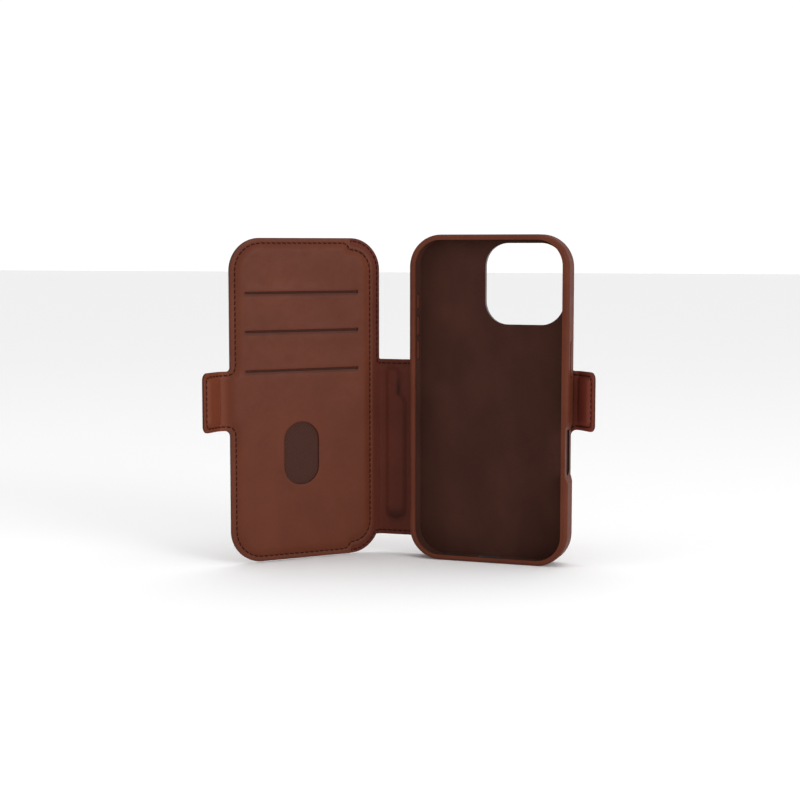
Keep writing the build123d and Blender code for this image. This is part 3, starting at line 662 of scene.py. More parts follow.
def pad_depths(u, z):
    """How far inside the spine's stiffener: its broad strip, and the whole with its neck."""
    broad = depth(u, z, PAD_U0, PAD_U1, PAD_Z0, PAD_Z1, PAD_R)
    neck = depth(u, z, PAD_NECK_U0, PAD_U1, PAD_Z0 + 9, PAD_NECK_Z1, PAD_NECK_R)
    return broad, np.maximum(broad, neck)


def spine_pad(u, z):
    """Rise of the spine's lining over its stiffener."""
    inner = pad_depths(u, z)[1]
    wrinkle = PAD_WRINKLE * ripple(u, z * 0.5, 2.4, 3.1) * smooth(inner, -2.4, 0.2)
    edge_valley = PAD_VALLEY * bell(inner + 1.4, 0.6)
    return PAD_RISE * smooth(inner, -1.3, 0.2) + wrinkle - edge_valley


def pad_shade(u, z):
    """Painted shade on the hide where it dips at the stiffener's foot, at its shoulder and along its edges.
    """
    broad, inner = pad_depths(u, z)
    valley = bell(inner + 0.9, 0.8)
    foot = smooth(-z, -PAD_Z0 - 7.5, -PAD_Z0 - 1.5) * smooth(broad, -0.9, 0.6)
    beside_neck = bell(u - PAD_NECK_U0 + 0.7, 0.9)
    above_strip = smooth(z, PAD_Z1 - 0.8, PAD_Z1 + 1.0) * smooth(-z, -PAD_NECK_Z1, -PAD_Z1 - 3.0)
    shoulder = beside_neck * above_strip
    low = np.maximum(VALLEY_SHADE * valley, FOOT_SHADE * foot)
    return np.maximum(low, SHOULDER_SHADE * shoulder)


def lining_level(u, z):
    """Inner face of the lining all over the folio."""
    level = np.full(u.shape, TAB_LEVEL)
    for rect, leaf_level, full_at in (
        (COVER_RECT, COVER_LINING_LEVEL, 3.0),
        (BACK_RECT, BACK_LINING_LEVEL, 4.2),
    ):
        inner = depth(u, z, *rect)
        level += (RIM_LINING - TAB_LEVEL) * smooth(inner, -0.6, 0.4)
        level += (leaf_level - RIM_LINING) * smooth(inner, 1.6, full_at)
    level += spine_pad(u, z)
    level += tab_pad(u, z, U_BACK_TAIL + 1.6, U_BACK_TIP + 2.6)
    return level + LINING_RIPPLE * ripple(u, z, 9.0, 1.7)


def lining_under(u, z):
    """Face of the lining that is glued down to board and hide."""
    level = np.full(u.shape, HIDE / 2 + LAYER_GAP)
    for rect, board_t in ((COVER_RECT, COVER_BOARD), (BACK_RECT, BACK_BOARD)):
        level += board_t * smooth(depth(u, z, *rect), 1.4, 2.2)
    return level


FACE_SEAM_LINE = paced(divided(FACE_SEAM), SEAM_LINE_PACE)
FOLIO_SEAM_LINE = paced(divided(FOLIO_SEAM), SEAM_LINE_PACE)


def swell(u, z, seam_line, width):
    """0 at a seam and outside it, growing to 1 at some width inside."""
    points = np.stack([u, z], 1)
    return smooth(nearest(points, seam_line), 0.1, width) * inside(points, seam_line)


def face_level(u, z):
    """Inner face of the pocket leather, raised inside its stitches and falling away to the tab."""
    raised = swell(u, z, FACE_SEAM_LINE, 3.2)
    level = RIM_FACE + (FACE_LEVEL - RIM_FACE) * raised
    level += FACE_RIPPLE * ripple(u, z, 14.0, 5.2) * raised
    along = smooth(u, SLIT_START - 2, SLIT_START + 8) * (1 - smooth(u, SLIT_END - 8, SLIT_END + 2))
    for slit_z in SLIT_Z:
        level += LIP_RISE * along * bell(z - slit_z - 1.0, 2.0)
        level -= LIP_DIP * along * bell(z - slit_z + 0.5, 1.3) * (z < slit_z)
    outward = smooth(u, *TAB_RAMP)
    tab = TAB_LEVEL + tab_pad(u, z, U_COVER_BEND + 1.4, U_COVER_TIP - 2.6)
    return level * (1 - outward) + tab * outward


def face_under(u, z):
    """Back of the pocket leather."""
    top = face_level(u, z)
    thickness = FACE_T - (FACE_T - LINING + LAYER_GAP) * smooth(u, *TAB_RAMP)
    return top - thickness


def hide_level(u, z):
    """Outer face of the hide, a little fuller inside its stitches."""
    raised = swell(u, z, FOLIO_SEAM_LINE, 2.8)
    return -HIDE_EDGE_LEVEL - HIDE_RISE * raised - HIDE_RIPPLE * ripple(u, z, 16.0, 8.8) * raised


def hide_under(u, z):
    """Inner face of the hide, where lining and boards lie on it."""
    return np.full(u.shape, HIDE / 2)


# -------- sheets
class Seam:
    """A line of stitches in the flat layout, with its needle holes."""

    def __init__(self, points, closed):
        self.closed = closed
        line = divided(points, closed)
        self.holes = paced(line, PITCH, closed)
        self.starts = self.holes if closed else self.holes[:-1]
        self.ends = np.roll(self.holes, -1, 0) if closed else self.holes[1:]
        self.line = paced(line, PITCH, closed, len(self.starts) * POINTS_PER_STITCH)
        self.middles = (self.starts + self.ends) / 2
        reach = (self.ends - self.starts) * STITCH_SHARE / 2
        self.needle_holes = np.vstack([self.middles - reach, self.middles + reach])

    def rows(self):
        """Mesh points along the seam: its middle and two rows on each side."""
        distances = [way * distance for distance in SEAM_ROWS for way in (1, -1)]
        return np.vstack([self.line, *(shifted(self.line, d, self.closed) for d in distances)])

    def groove(self, points):
        """Depth pressed in by the thread: a shallow valley, deeper at the needle holes."""
        from_line = nearest(points, self.line)
        from_hole = nearest(points, self.needle_holes)
        return VALLEY_DEPTH * bell(from_line, 0.5) + HOLE_DEPTH * bell(from_hole, 0.3)


def grid_points(loop):
    """Points of an uneven grid over the outline's box, finer where the sheet bends."""
    low, high = loop.min(0), loop.max(0)
    lines = [low[0] + 0.3]
    while lines[-1] < high[0]:
        lines.append(lines[-1] + step_at(lines[-1]))
    rows = np.arange(low[1] + 0.4, high[1], STEP)
    offset = 0.25 * STEP
    return np.array(
        [(u, z + (offset if i % 2 else -offset)) for i, u in enumerate(lines) for z in rows]
    )


def triangulate(loops, seams):
    """Triangles that fill a sheet: (points, triangles, edge drop of each point, outlines)."""
    points, drops, edges, kept = [], [], [], []
    angles = [0, pi / 6, pi / 3, pi / 2]
    for loop in loops:
        for angle in angles:
            ring = shifted(loop, EDGE_R * (1 - cos(angle))) if angle else loop
            first = len(points)
            points += [tuple(p) for p in ring]
            drops += [EDGE_R * (1 - sin(angle))] * len(ring)
            edges += [(first + i, first + (i + 1) % len(ring)) for i in range(len(ring))]
        kept.append(len(loop))
    taken = np.array(points)
    extra = [seam.rows() for seam in seams]
    extra.append(grid_points(loops[0]))
    limits = [SEAM_CLEARANCE] * len(seams) + [GRID_CLEARANCE]
    for group, limit in zip(extra, limits):
        group = group[within(group, loops)]
        far = nearest(group, taken)
        spacing = np.array([min(limit, 0.45 * step_at(p[0])) for p in group])
        group = group[far > spacing]
        taken = np.vstack([taken, group])
        points += [tuple(p) for p in group]
        drops += [0.0] * len(group)
    made = delaunay_2d_cdt([Vector(p) for p in points], edges, [], 0, 1e-5)
    flat = np.array([tuple(v) for v in made[0]])
    triangles = np.array([tuple(f) for f in made[2] if len(f) == 3])
    triangles = triangles[within(flat[triangles].mean(1), loops)]
    drop = np.zeros(len(flat))
    where = {}
    for index, originals in enumerate(made[3]):
        for original in originals:
            drop[index] = max(drop[index], drops[original])
            where[original] = index
    outlines = []
    first = 0
    for count in kept:
        outlines.append([where[first + i] for i in range(count)])
        first += count * len(angles)
    return flat, triangles, drop, outlines


def make_sheet(loops, seams, visible, hidden, side, shade=None):
    """Closed solid of a sheet in the flat layout, as a bmesh whose corners are (u, z, n).

    side is 1 if the visible face looks inward and -1 if it looks outward. shade gives how far
    the hide is darkened at a point by painted shade.
    """
    loops = [turned(divided(loop), index == 0) for index, loop in enumerate(loops)]
    flat, triangles, drop, outlines = triangulate(loops, seams)
    u, z = flat[:, 0], flat[:, 1]
    face = visible(u, z) - side * drop
    groove = np.zeros(len(flat))
    for seam in seams:
        groove = np.maximum(groove, seam.groove(flat))
    face = face - side * groove
    back = hidden(u, z)
    darkened = np.minimum(1.0, np.maximum(0.0, groove - VALLEY_DEPTH) * 5)
    if shade:
        darkened = np.maximum(darkened, shade(u, z))
    marks = {
        # seam: darker at the needle holes, plus the painted shade that shade gives
        "seam": darkened,
        "edge": np.minimum(1.0, drop / EDGE_R * 1.2),
        "slit": slit_span(u),
        # tab: where the closing tabs get painted light
        "tab": smooth(u, U_FREE - 1, U_FREE + 4) + smooth(-u, -U_BACK_FREE - 1, -U_BACK_FREE + 4),
    }
    mesh = bmesh.new()
    for name in marks:
        mesh.verts.layers.float.new(name)
    front_verts = [mesh.verts.new(p) for p in zip(u, z, face)]
    back_verts = [mesh.verts.new(p) for p in zip(u, z, back)]
    for name, values in marks.items():
        layer = mesh.verts.layers.float[name]
        for vert, value in zip(front_verts, values):
            vert[layer] = value
    edge_layer = mesh.verts.layers.float["edge"]
    for vert in back_verts:
        vert[edge_layer] = 1.0
    for a, b, c in triangles:
        corners = (a, b, c) if side > 0 else (a, c, b)
        mesh.faces.new([front_verts[i] for i in corners])
        mesh.faces.new([back_verts[i] for i in reversed(corners)])
    for outline in outlines:
        for a, b in zip(outline, outline[1:] + outline[:1]):
            if a == b:
                continue
            wall = (front_verts[a], back_verts[a], back_verts[b], front_verts[b])
            mesh.faces.new(wall if side > 0 else wall[::-1])
    mesh.verts.ensure_lookup_table()
    loose = [v for v in mesh.verts if not v.link_faces]
    bmesh.ops.delete(mesh, geom=loose, context="VERTS")
    return mesh


def cut_sheet(source, low, high):
    """Copy of the part of a flat sheet between two values of u, closed at its cuts."""
    mesh = source.copy()
    for at, direction in ((low, -1), (high, 1)):
        if at is None:
            continue
        geom = mesh.verts[:] + mesh.edges[:] + mesh.faces[:]
        cut = bmesh.ops.bisect_plane(
            mesh, geom=geom, dist=1e-6, plane_co=(at, 0, 0), plane_no=(direction, 0, 0),
            clear_outer=True,
        )
        rim = [e for e in cut["geom_cut"] if isinstance(e, bmesh.types.BMEdge)]
        bmesh.ops.holes_fill(mesh, edges=[e for e in rim if e.is_valid], sides=0)
    return mesh


def new_object(name, data):
    """Object of a mesh, lamp or camera, linked to the scene."""
    made = bpy.data.objects.new(name, data)
    bpy.context.scene.collection.objects.link(made)
    return made


def finish_mesh(mesh, name, material):
    """Object made of a flat-layout bmesh, bent into place."""
    coords = np.array([tuple(v.co) for v in mesh.verts])
    bent = place(coords[:, 0], coords[:, 1], coords[:, 2]) * MM
    for vert, co in zip(mesh.verts, bent):
        vert.co = co
    bmesh.ops.recalc_face_normals(mesh, faces=mesh.faces[:])
    data = bpy.data.meshes.new(name)
    mesh.to_mesh(data)
    mesh.free()
    return as_object(data, name, material)


def as_object(data, name, material):
    """Object of a mesh, smooth except at sharp edges."""
    data.polygons.foreach_set("use_smooth", [True] * len(data.polygons))
    data.set_sharp_from_angle(angle=radians(SHARP_ANGLE))
    data.materials.append(material)
    return new_object(name, data)


# -------- threads
def stitch_tubes(stitches):
    """One mesh of many short threads. Each stitch is a list of points with a radius at each."""
    sides = 7
    vertices, faces = [], []
    for line, radii in stitches:
        first = len(vertices)
        tangents = unit(np.gradient(line, axis=0))
        across = unit(np.cross(tangents, (0.31, 0.17, 0.94)))
        over = np.cross(tangents, across)
        for k in range(len(line)):
            for i in range(sides):
                angle = 2 * pi * i / sides
                around = cos(angle) * across[k] + sin(angle) * over[k]
                vertices.append(line[k] + radii[k] * around)
        for k in range(len(line) - 1):
            for i in range(sides):
                j = (i + 1) % sides
                a = first + k * sides
                faces.append((a + i, a + j, a + sides + j, a + sides + i))
        faces.append([first + i for i in reversed(range(sides))])
        faces.append([first + (len(line) - 1) * sides + i for i in range(sides)])
    return vertices, faces


def seam_stitches(seam, level, side, slant=0.10):
    """Every stitch of a seam, as bent lines from needle hole to needle hole."""
    starts, ends, middles = seam.starts, seam.ends, seam.middles
    along = unit(ends - starts)
    sideways = np.stack([-along[:, 1], along[:, 0]], 1)
    shares = 0.5 + STITCH_SHARE * np.array([-0.5, -0.44, -0.28, 0.0, 0.28, 0.44, 0.5])
    lifts = np.array([-0.26, -0.06, 0.09, 0.15, 0.09, -0.06, -0.26])
    radii = np.array([0.5, 0.86, 1.0, 1.04, 1.0, 0.86, 0.5]) * THREAD_R
    base = level(middles[:, 0], middles[:, 1])
    stitches = []
    for index in range(len(starts)):
        flat = starts[index] + np.outer(shares, ends[index] - starts[index])
        flat = flat + np.outer((shares - 0.5) * 2 * slant / STITCH_SHARE, sideways[index])
        n = base[index] + side * (lifts - STITCH_SINK)
        stitches.append((middles[index][0], place(flat[:, 0], flat[:, 1], n) * MM, radii * MM))
    return stitches


def thread_piece(name, stitches, low, high):
    """Thread of the stitches whose middles lie between two values of u."""
    chosen = [(line, radii) for at, line, radii in stitches if low <= at < high]
    vertices, faces = stitch_tubes(chosen)
    data = bpy.data.meshes.new(name)
    data.from_pydata([tuple(v) for v in vertices], [], faces)
    data.validate()
    return as_object(data, name, THREAD)


# -------- materials
class Nodes:
    """A new material with its node tree, and short ways to add nodes to it."""

    def __init__(self, name):
        self.material = bpy.data.materials.new(name)
        self.material.use_nodes = True
        self.tree = self.material.node_tree
        self.shader = self.tree.nodes["Principled BSDF"]
        self.coords = self.add("ShaderNodeTexCoord").outputs["Object"]

    def add(self, kind, **settings):
        """Node with its sockets and properties set by name."""
        node = self.tree.nodes.new(kind)
        for key, value in settings.items():
            if key in node.inputs:
                node.inputs[key].default_value = value
            else:
                setattr(node, key, value)
        return node

    def link(self, a, b):
        self.tree.links.new(a, b)

    def put(self, socket, value):
        """Feeds a socket from another socket, a number or a colour."""
        if isinstance(value, bpy.types.NodeSocket):
            self.link(value, socket)
        elif hasattr(value, "__len__"):
            socket.default_value = (*value, 1.0) if len(value) == 3 else value
        else:
            socket.default_value = value

    def done(self, **inputs):
        """Feeds the shader's sockets, named with underscores, and gives the material."""
        for name, value in inputs.items():
            self.put(self.shader.inputs[name.replace("_", " ")], value)
        return self.material

    def mapped(self, **settings):
        """The object's coordinates, scaled or turned."""
        node = self.add("ShaderNodeMapping", **settings)
        self.link(self.coords, node.inputs["Vector"])
        return node.outputs["Vector"]

    def pattern(self, kind, vector=None, output="Fac", **settings):
        node = self.add("ShaderNodeTex" + kind, **settings)
        self.link(vector or self.coords, node.inputs["Vector"])
        return node.outputs[output]

    def noise(self, scale, detail, roughness, vector=None):
        return self.pattern("Noise", vector, Scale=scale, Detail=detail, Roughness=roughness)

    def attribute(self, name):
        return self.add("ShaderNodeAttribute", attribute_name=name).outputs["Fac"]

    def axes(self):
        """The object's coordinates, one by one."""
        node = self.add("ShaderNodeSeparateXYZ")
        self.link(self.coords, node.inputs[0])
        return node.outputs

    def mix(self, share, a, b):
        """Colour between a and b."""
        node = self.add("ShaderNodeMix", data_type="RGBA")
        self.put(node.inputs["Factor"], share)
        self.put(node.inputs[6], a)
        self.put(node.inputs[7], b)
        return node.outputs[2]

    def tint(self, colour, mask, share, other):
        """A colour turned towards another by a share of the mask."""
        return self.mix(self.times(mask, share), colour, other)

    def math(self, operation, a, b=0.0):
        node = self.add("ShaderNodeMath", operation=operation)
        self.put(node.inputs[0], a)
        self.put(node.inputs[1], b)
        return node.outputs["Value"]

    def times(self, a, b):
        return self.math("MULTIPLY", a, b)

    def ramp(self, value, low, high, to_low=0.0, to_high=1.0):
        """Value carried from the range low to high onto the range to_low to to_high."""
        ends = {"From Min": low, "From Max": high, "To Min": to_low, "To Max": to_high}
        node = self.add("ShaderNodeMapRange", **ends)
        self.put(node.inputs["Value"], value)
        return node.outputs["Result"]

    def slot_mask(self, side, y, z, length, width):
        """1 within a slot that runs along Z through the wall on one side, and 0 outside it."""
        axes = self.axes()
        along = self.math("ABSOLUTE", self.math("SUBTRACT", axes["Z"], z))
        beyond = self.math("MAXIMUM", self.math("SUBTRACT", along, (length - width) / 2), 0.0)
        across = self.math("SUBTRACT", axes["Y"], y)
        square = self.math("ADD", self.times(beyond, beyond), self.times(across, across))
        distance = self.math("SQRT", square)
        within = self.math("LESS_THAN", distance, width / 2 + HOLE_MARGIN * MM)
        way = "GREATER_THAN" if side > 0 else "LESS_THAN"
        return self.times(within, self.math(way, axes["X"], SHELL_MID * MM))

    def bump(self, height, distance, strength, normal=None):
        node = self.add("ShaderNodeBump", Strength=strength, Distance=distance)
        self.link(height, node.inputs["Height"])
        if normal is not None:
            self.link(normal, node.inputs["Normal"])
        return node.outputs["Normal"]


def shade(hex_text):
    """Linear colour of an sRGB hex text."""
    values = [int(hex_text[i:i + 2], 16) / 255 for i in (0, 2, 4)]
    return [v / 12.92 if v <= 0.04045 else ((v + 0.055) / 1.055) ** 2.4 for v in values]


def dimmed(colour, share):
    """A colour made darker, or brighter with a share above 1."""
    return [min(1, v * share) for v in colour]


def leather(
    name, base, light, dark, rough=0.46, grain=1.0, specular=0.12, holes=(), slits=(), tab=None
):
    """Smooth corrected-grain leather: fine pores, faint creases, cloudy colour, darker edges.

    holes are slots along Z, as (side, y, z, length, width), whose cut walls are painted dark too.
    slits are heights of card slits, round which painted shade darkens the hide where it dips under the upper
    lip.
    tab is a lighter colour painted onto the closing tab as painted light.
    """
    n = Nodes(name)
    clouds = n.noise(38, 3, 0.55)
    patches = n.noise(150, 4, 0.6)
    colour = n.mix(n.ramp(clouds, 0.32, 0.70), base, light)
    # Painted light: the closing tabs made lighter
    if tab:
        colour = n.tint(colour, n.attribute("tab"), 0.9, tab)
    colour = n.tint(colour, n.ramp(patches, 0.35, 0.75), 0.16, dark)
    pores = n.pattern("Voronoi", output="Distance", Scale=2300)
    speck = n.noise(5200, 2, 0.6)
    colour = n.tint(colour, n.ramp(pores, 0.55, 0.15), 0.10, dark)
    # Darker at the needle holes, and painted shade round the spine's stiffener
    colour = n.tint(colour, n.attribute("seam"), 0.45, dimmed(dark, 0.35))
    colour = n.tint(colour, n.attribute("edge"), 0.70, dimmed(dark, 0.80))
    for hole in holes:
        colour = n.tint(colour, n.slot_mask(*hole), 0.9, dimmed(dark, 0.12))
    # Painted shade in a band round each card slit, deepest below it
    for z in slits:
        low = n.ramp(n.axes()["Z"], (z - DIP_H) * MM, (z - 0.7 * DIP_H) * MM)
        high = n.ramp(n.axes()["Z"], (z + 0.75) * MM, (z + 0.45) * MM)
        colour = n.tint(colour, n.times(n.times(low, high), n.attribute("slit")), 0.5, dark)
    gloss = n.ramp(patches, 0.3, 0.7, rough - 0.05, rough + 0.06)
    gloss = n.math("ADD", gloss, n.times(n.ramp(pores, 0.5, 0.1), 0.06))
    height = n.math("ADD", n.times(pores, 0.6), n.times(speck, 0.4))
    normal = n.bump(height, 0.00004 * grain, 0.55)
    normal = n.bump(n.noise(420, 5, 0.65), 0.00012 * grain, 0.35, normal)
    return n.done(Base_Color=colour, Roughness=gloss, Normal=normal, Specular_IOR_Level=specular)


def microfibre(name, base, light):
    """Short brushed nap that catches light unevenly."""
    n = Nodes(name)
    brush = n.noise(55, 2, 0.5, n.mapped(Scale=(1.0, 1.0, 0.6)))
    nap = n.noise(5200, 3, 0.7)
    colour = n.mix(n.ramp(brush, 0.35, 0.68), base, light)
    return n.done(
        Base_Color=n.tint(colour, n.ramp(nap, 0.45, 0.62), 0.35, dimmed(base, 0.55)),
        Roughness=0.95,
        Sheen_Weight=0.05,
        Sheen_Tint=dimmed(light, 4),
        Specular_IOR_Level=0.08,
        Normal=n.bump(brush, 0.0002, 0.3, n.bump(nap, 0.00009, 0.8)),
    )


def twill(name, base, light):
    """Fine diagonal weave."""
    n = Nodes(name)
    turned_coords = n.mapped(Rotation=(0, radians(32), -COVER_DIRECTION))
    ribs = n.pattern("Wave", turned_coords, Scale=430.0, bands_direction="X")
    warp = n.pattern("Wave", turned_coords, Scale=900.0, bands_direction="Z")
    weave = n.times(ribs, n.ramp(warp, 0, 1, 0.6, 1.0))
    colour = n.mix(n.ramp(weave, 0.1, 0.9), base, light)
    return n.done(
        Base_Color=n.tint(colour, n.noise(3800, 2, 0.6), 0.2, dimmed(base, 0.5)),
        Roughness=0.85,
        Specular_IOR_Level=0.12,
        Normal=n.bump(weave, 0.00016, 0.8),
    )


def thread_material(name, base, light):
    """Waxed polyester thread with a fine twist."""
    n = Nodes(name)
    twist = n.pattern("Wave", Scale=900.0, Distortion=1.5, bands_direction="DIAGONAL")
    return n.done(
        Base_Color=n.mix(n.ramp(twist, 0.2, 0.8), base, light),
        Roughness=0.6,
        Specular_IOR_Level=0.0,
        Normal=n.bump(twist, 0.00008, 0.6),
    )


def moulded(name, base, rough, metallic=0.0):
    """Fine-textured moulding, or a plated metal when metallic."""
    n = Nodes(name)
    texture = n.noise(4200, 2, 0.6)
    smudge = n.noise(160, 3, 0.5)
    return n.done(
        Base_Color=n.tint(base, n.ramp(smudge, 0.35, 0.7), 0.35, dimmed(base, 1.6)),
        Roughness=n.ramp(smudge, 0.3, 0.7, rough - 0.06, rough + 0.08),
        Metallic=metallic,
        Normal=n.bump(texture, 0.00004, 0.5),
    )


def board(name, base):
    """Grey-brown pressed fibre board."""
    n = Nodes(name)
    fibre = n.noise(1400, 4, 0.7, n.mapped(Scale=(1, 1, 0.3)))
    return n.done(
        Base_Color=n.mix(n.ramp(fibre, 0.3, 0.7), base, dimmed(base, 0.6)),
        Roughness=0.95,
        Normal=n.bump(fibre, 0.00008, 0.6),
    )


COVER_DIRECTION = SPINE_TURN + COVER_TURN
DARK = shade("381710")
HIDE_LEATHER = leather("hide leather", shade("5b2c1c"), shade("633120"), DARK)
# Pocket leather with painted shade round its slits and painted light on its tab
FACE_LEATHER = leather(
    "pocket leather", shade("5a2b1b"), shade("633220"), DARK, slits=SLIT_Z, tab=shade("6e3724")
)
# Lining leather with painted light on the back tab
LINING_LEATHER = leather(
    "lining leather", shade("522318"), shade("5f2c20"), DARK, rough=0.52, tab=shade("79392c")
)
WALL_HOLES = [(1, (SHELL_HIGH.y - RECESS_BACK) * MM, RECESS_Z * MM, RECESS_L * MM, RECESS_W * MM)]
KEYS = ("side_button", "volume_up_button", "volume_down_button", "action_button")
for key_name in KEYS:
    low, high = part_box(key_name)
    key_w = (high.y - low.y) - 2 * FLANGE_RIM * MM + 2 * KEY_GAP * MM
    key_l = (high.z - low.z) - 2 * FLANGE_RIM * MM + 2 * KEY_GAP * MM
    key_side = 1 if low.x > SHELL_MID * MM else -1
    WALL_HOLES.append((key_side, (low.y + high.y) / 2, (low.z + high.z) / 2, key_l, key_w))
KEY_LEATHER = leather("key leather", shade("562a1d"), shade("613323"), DARK, rough=0.5)
SHELL_LEATHER = leather(
    "shell leather", shade("572b1e"), shade("623424"), DARK, rough=0.5, specular=0.07,
    holes=WALL_HOLES,
)
MICROFIBRE = microfibre("microfibre", shade("3a211b"), shade("442820"))
TWILL = twill("twill", shade("3a221c"), shade("55362d"))
THREAD = thread_material("thread", shade("2c110d"), shade("48231b"))
TRAY = moulded("tray plastic", shade("160d0b"), 0.6)
RING = moulded("ring plastic", shade("2e1a16"), 0.35)
BOARD = board("fibre board", shade("8a7a66"))
METAL = moulded("plated metal", shade("b9b9bd"), 0.25, 1.0)

# -------- CAD parts that stay as they are
for material, node_names in (
    (SHELL_LEATHER, ("shell_leather",)),
    (TRAY, ("shell_tray",)),
    (MICROFIBRE, ("shell_lining",)),
    (RING, ("camera_ring",)),
    (KEY_LEATHER, KEYS),
    (BOARD, ("back_board", "spine_board", "cover_board")),
    (METAL, ("shell_steel_plate", "back_magnets", "cover_tab_magnet", "back_tab_magnet")),
):
    for node_name in node_names:
        data = nodes[node_name].data
        data.materials.clear()
        data.materials.append(material)

# -------- joints the sheets bend across
BEND_Z = 77.0


def bend_point(u):
    """Point in the middle of the hide, in metres."""
    x, y, z = place(np.array([u]), np.array([BEND_Z]), np.array([0.0]))[0]
    return (x * MM, y * MM, z * MM)


BLENDS = {
    "cover_tab": ("cover", "cover_tab", U_FREE + 0.4, U_FREE + 6.0),
    "cover_fold": ("spine", "cover", SPINE_W - 2.9, U_COVER),
    "back_fold": ("back_panel", "spine", U_BACK, 3.0),
    "back_tab": ("back_panel", "back_tab", U_BACK_FREE + 0.6, U_BACK_FREE - 4.0),
}


def bend_with(piece, key):
    """Lets a piece bend across one of the folio's joints."""
    first, second, start, end = BLENDS[key]
    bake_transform(piece, first, second, start=bend_point(start), end=bend_point(end))


def cut_pieces(sheet, parts, material):
    """Pieces cut across a flat sheet and bent into place, by name."""
    pieces = {}
    for name, low, high, key, replaced in parts:
        piece = finish_mesh(cut_sheet(sheet, low, high), name, material)
        bend_with(piece, key)
        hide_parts(*replaced)
        pieces[name] = piece
    sheet.free()
    return pieces


# -------- outer hide, in four pieces
CUT_COVER = SPINE_W + 40.0
CUT_SPINE = 3.4
FACE_LINE = Seam(FACE_SEAM, True)
OUTER_LINE = Seam(FOLIO_SEAM, True)
WINDOW_LINE = Seam(WINDOW_SEAM, False)

hide = make_sheet([FOLIO_EDGE, WINDOW_EDGE], [OUTER_LINE, WINDOW_LINE], hide_level, hide_under, -1)
HIDE_PARTS = (
    ("hide_cover_free_side", CUT_COVER, None, "cover_tab", ("cover_tab_leather",)),
    (
        "hide_cover_spine_side", CUT_SPINE, CUT_COVER, "cover_fold",
        ("cover_leather", "spine_leather"),
    ),
    ("hide_back_spine_side", MID_BACK, CUT_SPINE, "back_fold", ("back_leather",)),
    ("hide_back_free_side", None, MID_BACK, "back_tab", ("back_tab_leather",)),
)
cut_pieces(hide, HIDE_PARTS, HIDE_LEATHER)

# -------- inner lining, in three pieces
STRIP_LINES = [Seam(points, False) for points in STRIP_SEAMS]
BACK_LINE = Seam(BACK_SEAM, True)
lining_seams = [*STRIP_LINES, BACK_LINE, WINDOW_LINE]
lining = make_sheet(
    [LINING_EDGE, WINDOW_EDGE], lining_seams, lining_level, lining_under, 1, pad_shade
)
LINING_PARTS = (
    ("lining_cover_and_spine", CUT_SPINE, None, "cover_fold", ("cover_lining", "spine_lining")),
    ("lining_back_spine_side", MID_BACK, CUT_SPINE, "back_fold", ("back_lining",)),
    ("lining_back_free_side", None, MID_BACK, "back_tab", ("back_tab_lining",)),
)
pieces = cut_pieces(lining, LINING_PARTS, LINING_LEATHER)

# -------- pocket face with the tab's lining
slit_edges = [slit_outline(z) for z in SLIT_Z]
face = make_sheet([FACE_EDGE, THUMB_EDGE, *slit_edges], [FACE_LINE], face_level, face_under, 1)
pocket = finish_mesh(face, "pocket_face_leather", FACE_LEATHER)
bend_with(pocket, "cover_tab")
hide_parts("pocket_face", "cover_tab_lining")

# -------- threads
inner_back = seam_stitches(BACK_LINE, lining_level, 1) + seam_stitches(WINDOW_LINE, lining_level, 1)
inner_strip = [s for line in STRIP_LINES for s in seam_stitches(line, lining_level, 1)]
outer = seam_stitches(OUTER_LINE, hide_level, -1) + seam_stitches(WINDOW_LINE, hide_level, -1)
face_stitches = seam_stitches(FACE_LINE, face_level, 1)
FAR = 999
THREADS = (
    ("thread_face", face_stitches, -FAR, FAR, "cover_tab", ("pocket_thread", "cover_tab_thread")),
    ("thread_strip", inner_strip, -FAR, FAR, "cover_fold", ("cover_thread", "spine_thread")),
    ("thread_back_inside", inner_back, -FAR, FAR, "back_tab", ("back_tab_thread",)),
    ("thread_outside_cover_free_side", outer, CUT_COVER, FAR, "cover_tab", ()),
    ("thread_outside_cover_spine_side", outer, CUT_SPINE, CUT_COVER, "cover_fold", ()),
    ("thread_outside_back_spine_side", outer, MID_BACK, CUT_SPINE, "back_fold", ("back_thread",)),
    ("thread_outside_back_free_side", outer, -FAR, MID_BACK, "back_tab", ()),
)
for name, stitches, low, high, key, replaced in THREADS:
    piece = thread_piece(name, stitches, low, high)
    bend_with(piece, key)
    if replaced:
        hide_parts(*replaced)


# -------- cloth of the card pockets
CLOTH_T = 0.12
CLOTH_STEP = 1.6
CLOTH_RIPPLE = 0.05
BACKING_LEVEL = 1.56
BAG_LEVEL = 1.74


def cloth_piece(name, u0, u1, z0, z1, level, seed, node_name):
    """Thin woven bag behind a slit, lying a little uneven."""
    count_u = ceil((u1 - u0) / CLOTH_STEP)
    count_z = ceil((z1 - z0) / CLOTH_STEP)
    mesh = bmesh.new()
    rows = []
    for i in range(count_u + 1):
        u = u0 + (u1 - u0) * i / count_u
        z = np.linspace(z0, z1, count_z + 1)
        wave = CLOTH_RIPPLE * ripple(np.full(z.shape, u), z, 7.0, seed)
        rows.append([mesh.verts.new((u, b, level + c)) for b, c in zip(z, wave)])
    for a, b in zip(rows, rows[1:]):
        for k in range(count_z):
            mesh.faces.new((a[k], b[k], b[k + 1], a[k + 1]))
    piece = finish_mesh(mesh, name, TWILL)
    thick = piece.modifiers.new("thickness", "SOLIDIFY")
    thick.thickness = CLOTH_T * MM
    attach(piece, "cover")
    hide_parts(node_name)


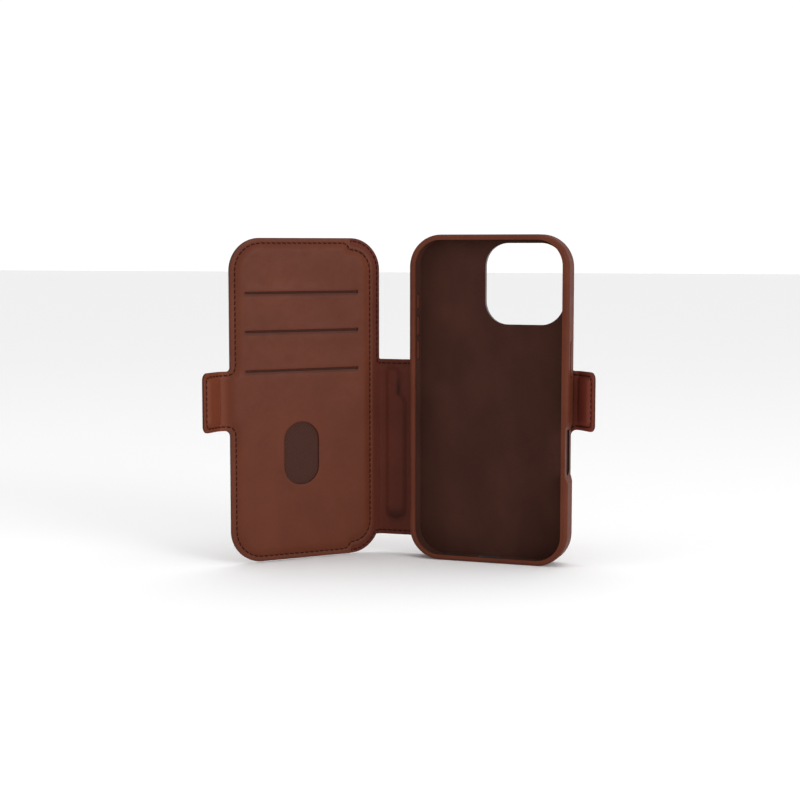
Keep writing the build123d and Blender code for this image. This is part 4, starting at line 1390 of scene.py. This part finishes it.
POCKET_U0 = SLIT_START - 1.0
POCKET_U1 = POCKET_U0 + SLIT_L + 2.0
BACKING_U = (POCKET_U0 - 3, POCKET_U1 + 1)
cloth_piece("pocket_cloth_back", *BACKING_U, 7.2, 146.0, BACKING_LEVEL, 0.4, "pocket_backing")
for number, z0, z1 in ((1, 112.5, 129.5), (2, 94.1, 111.5), (3, 10.0, 93.1)):
    cloth_piece(
        f"pocket_cloth_{number}", POCKET_U0, POCKET_U1, z0, z1, BAG_LEVEL, number + 0.4,
        f"pocket_divider_{number}",
    )

# -------- studio
FLOOR = 9
floor_data = bpy.data.meshes.new("floor")
corners = [(-FLOOR, -FLOOR, 0), (FLOOR, -FLOOR, 0), (FLOOR, FLOOR, 0), (-FLOOR, FLOOR, 0)]
floor_data.from_pydata(corners, [], [(0, 1, 2, 3)])
floor = new_object("floor", floor_data)
PALE = (0.94, 0.94, 0.94)
floor_data.materials.append(
    Nodes("pale floor").done(Base_Color=PALE, Roughness=1.0, Specular_IOR_Level=0.0)
)
floor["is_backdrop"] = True

# White room, dimmer overhead than near the horizon
world = bpy.data.worlds.new("studio")
bpy.context.scene.world = world
world.use_nodes = True
sky = world.node_tree.nodes
links = world.node_tree.links
direction = sky.new("ShaderNodeTexCoord")
parts = sky.new("ShaderNodeSeparateXYZ")
brightness = sky.new("ShaderNodeMapRange")
links.new(direction.outputs["Generated"], parts.inputs[0])
links.new(parts.outputs["Z"], brightness.inputs["Value"])
for socket, value in (("From Min", 0.17), ("From Max", 0.4), ("To Min", 1.05), ("To Max", 0.4)):
    brightness.inputs[socket].default_value = value
links.new(brightness.outputs["Result"], sky["Background"].inputs["Strength"])
sky["Background"].inputs["Color"].default_value = (1, 1, 1, 1)


def lamp(name, kind, position, target, power, size):
    """Soft light that looks at a point."""
    light = bpy.data.lights.new(name, kind)
    light.energy = power
    if kind == "SUN":
        light.angle = radians(size)
    else:
        light.shape = "RECTANGLE"
        light.size, light.size_y = size
    holder = new_object(name, light)
    holder.location = position
    holder.rotation_euler = (Vector(target) - Vector(position)).to_track_quat("-Z", "Y").to_euler()


CASE_MIDDLE = (0.0, 0.0, 0.08)
lamp("overhead", "SUN", (0.1, 0.3, 2.0), (0, 0, 0), 1.5, 70)
lamp("key", "AREA", (0.98, -0.50, 0.40), CASE_MIDDLE, 6.0, (0.5, 0.6))
lamp("fill", "AREA", (-0.9, -0.6, 0.30), CASE_MIDDLE, 2.2, (0.5, 0.5))

AZIMUTH = radians(19.47)
ELEVATION = radians(5.36)
DISTANCE = 0.777
TARGET = Vector((-0.01366, 0.0348, 0.07464))
camera_data = bpy.data.cameras.new("camera")
camera_data.lens = 72.4
camera_data.sensor_width = 36.0
camera = new_object("camera", camera_data)
away = Vector((sin(AZIMUTH) * cos(ELEVATION), -cos(AZIMUTH) * cos(ELEVATION), sin(ELEVATION)))
camera.location = TARGET + away * DISTANCE
camera.rotation_euler = (-away).to_track_quat("-Z", "Y").to_euler()
bpy.context.scene.camera = camera
bpy.context.scene.view_settings.view_transform = "Standard"

# -------- bounds of the shown objects
low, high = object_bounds()
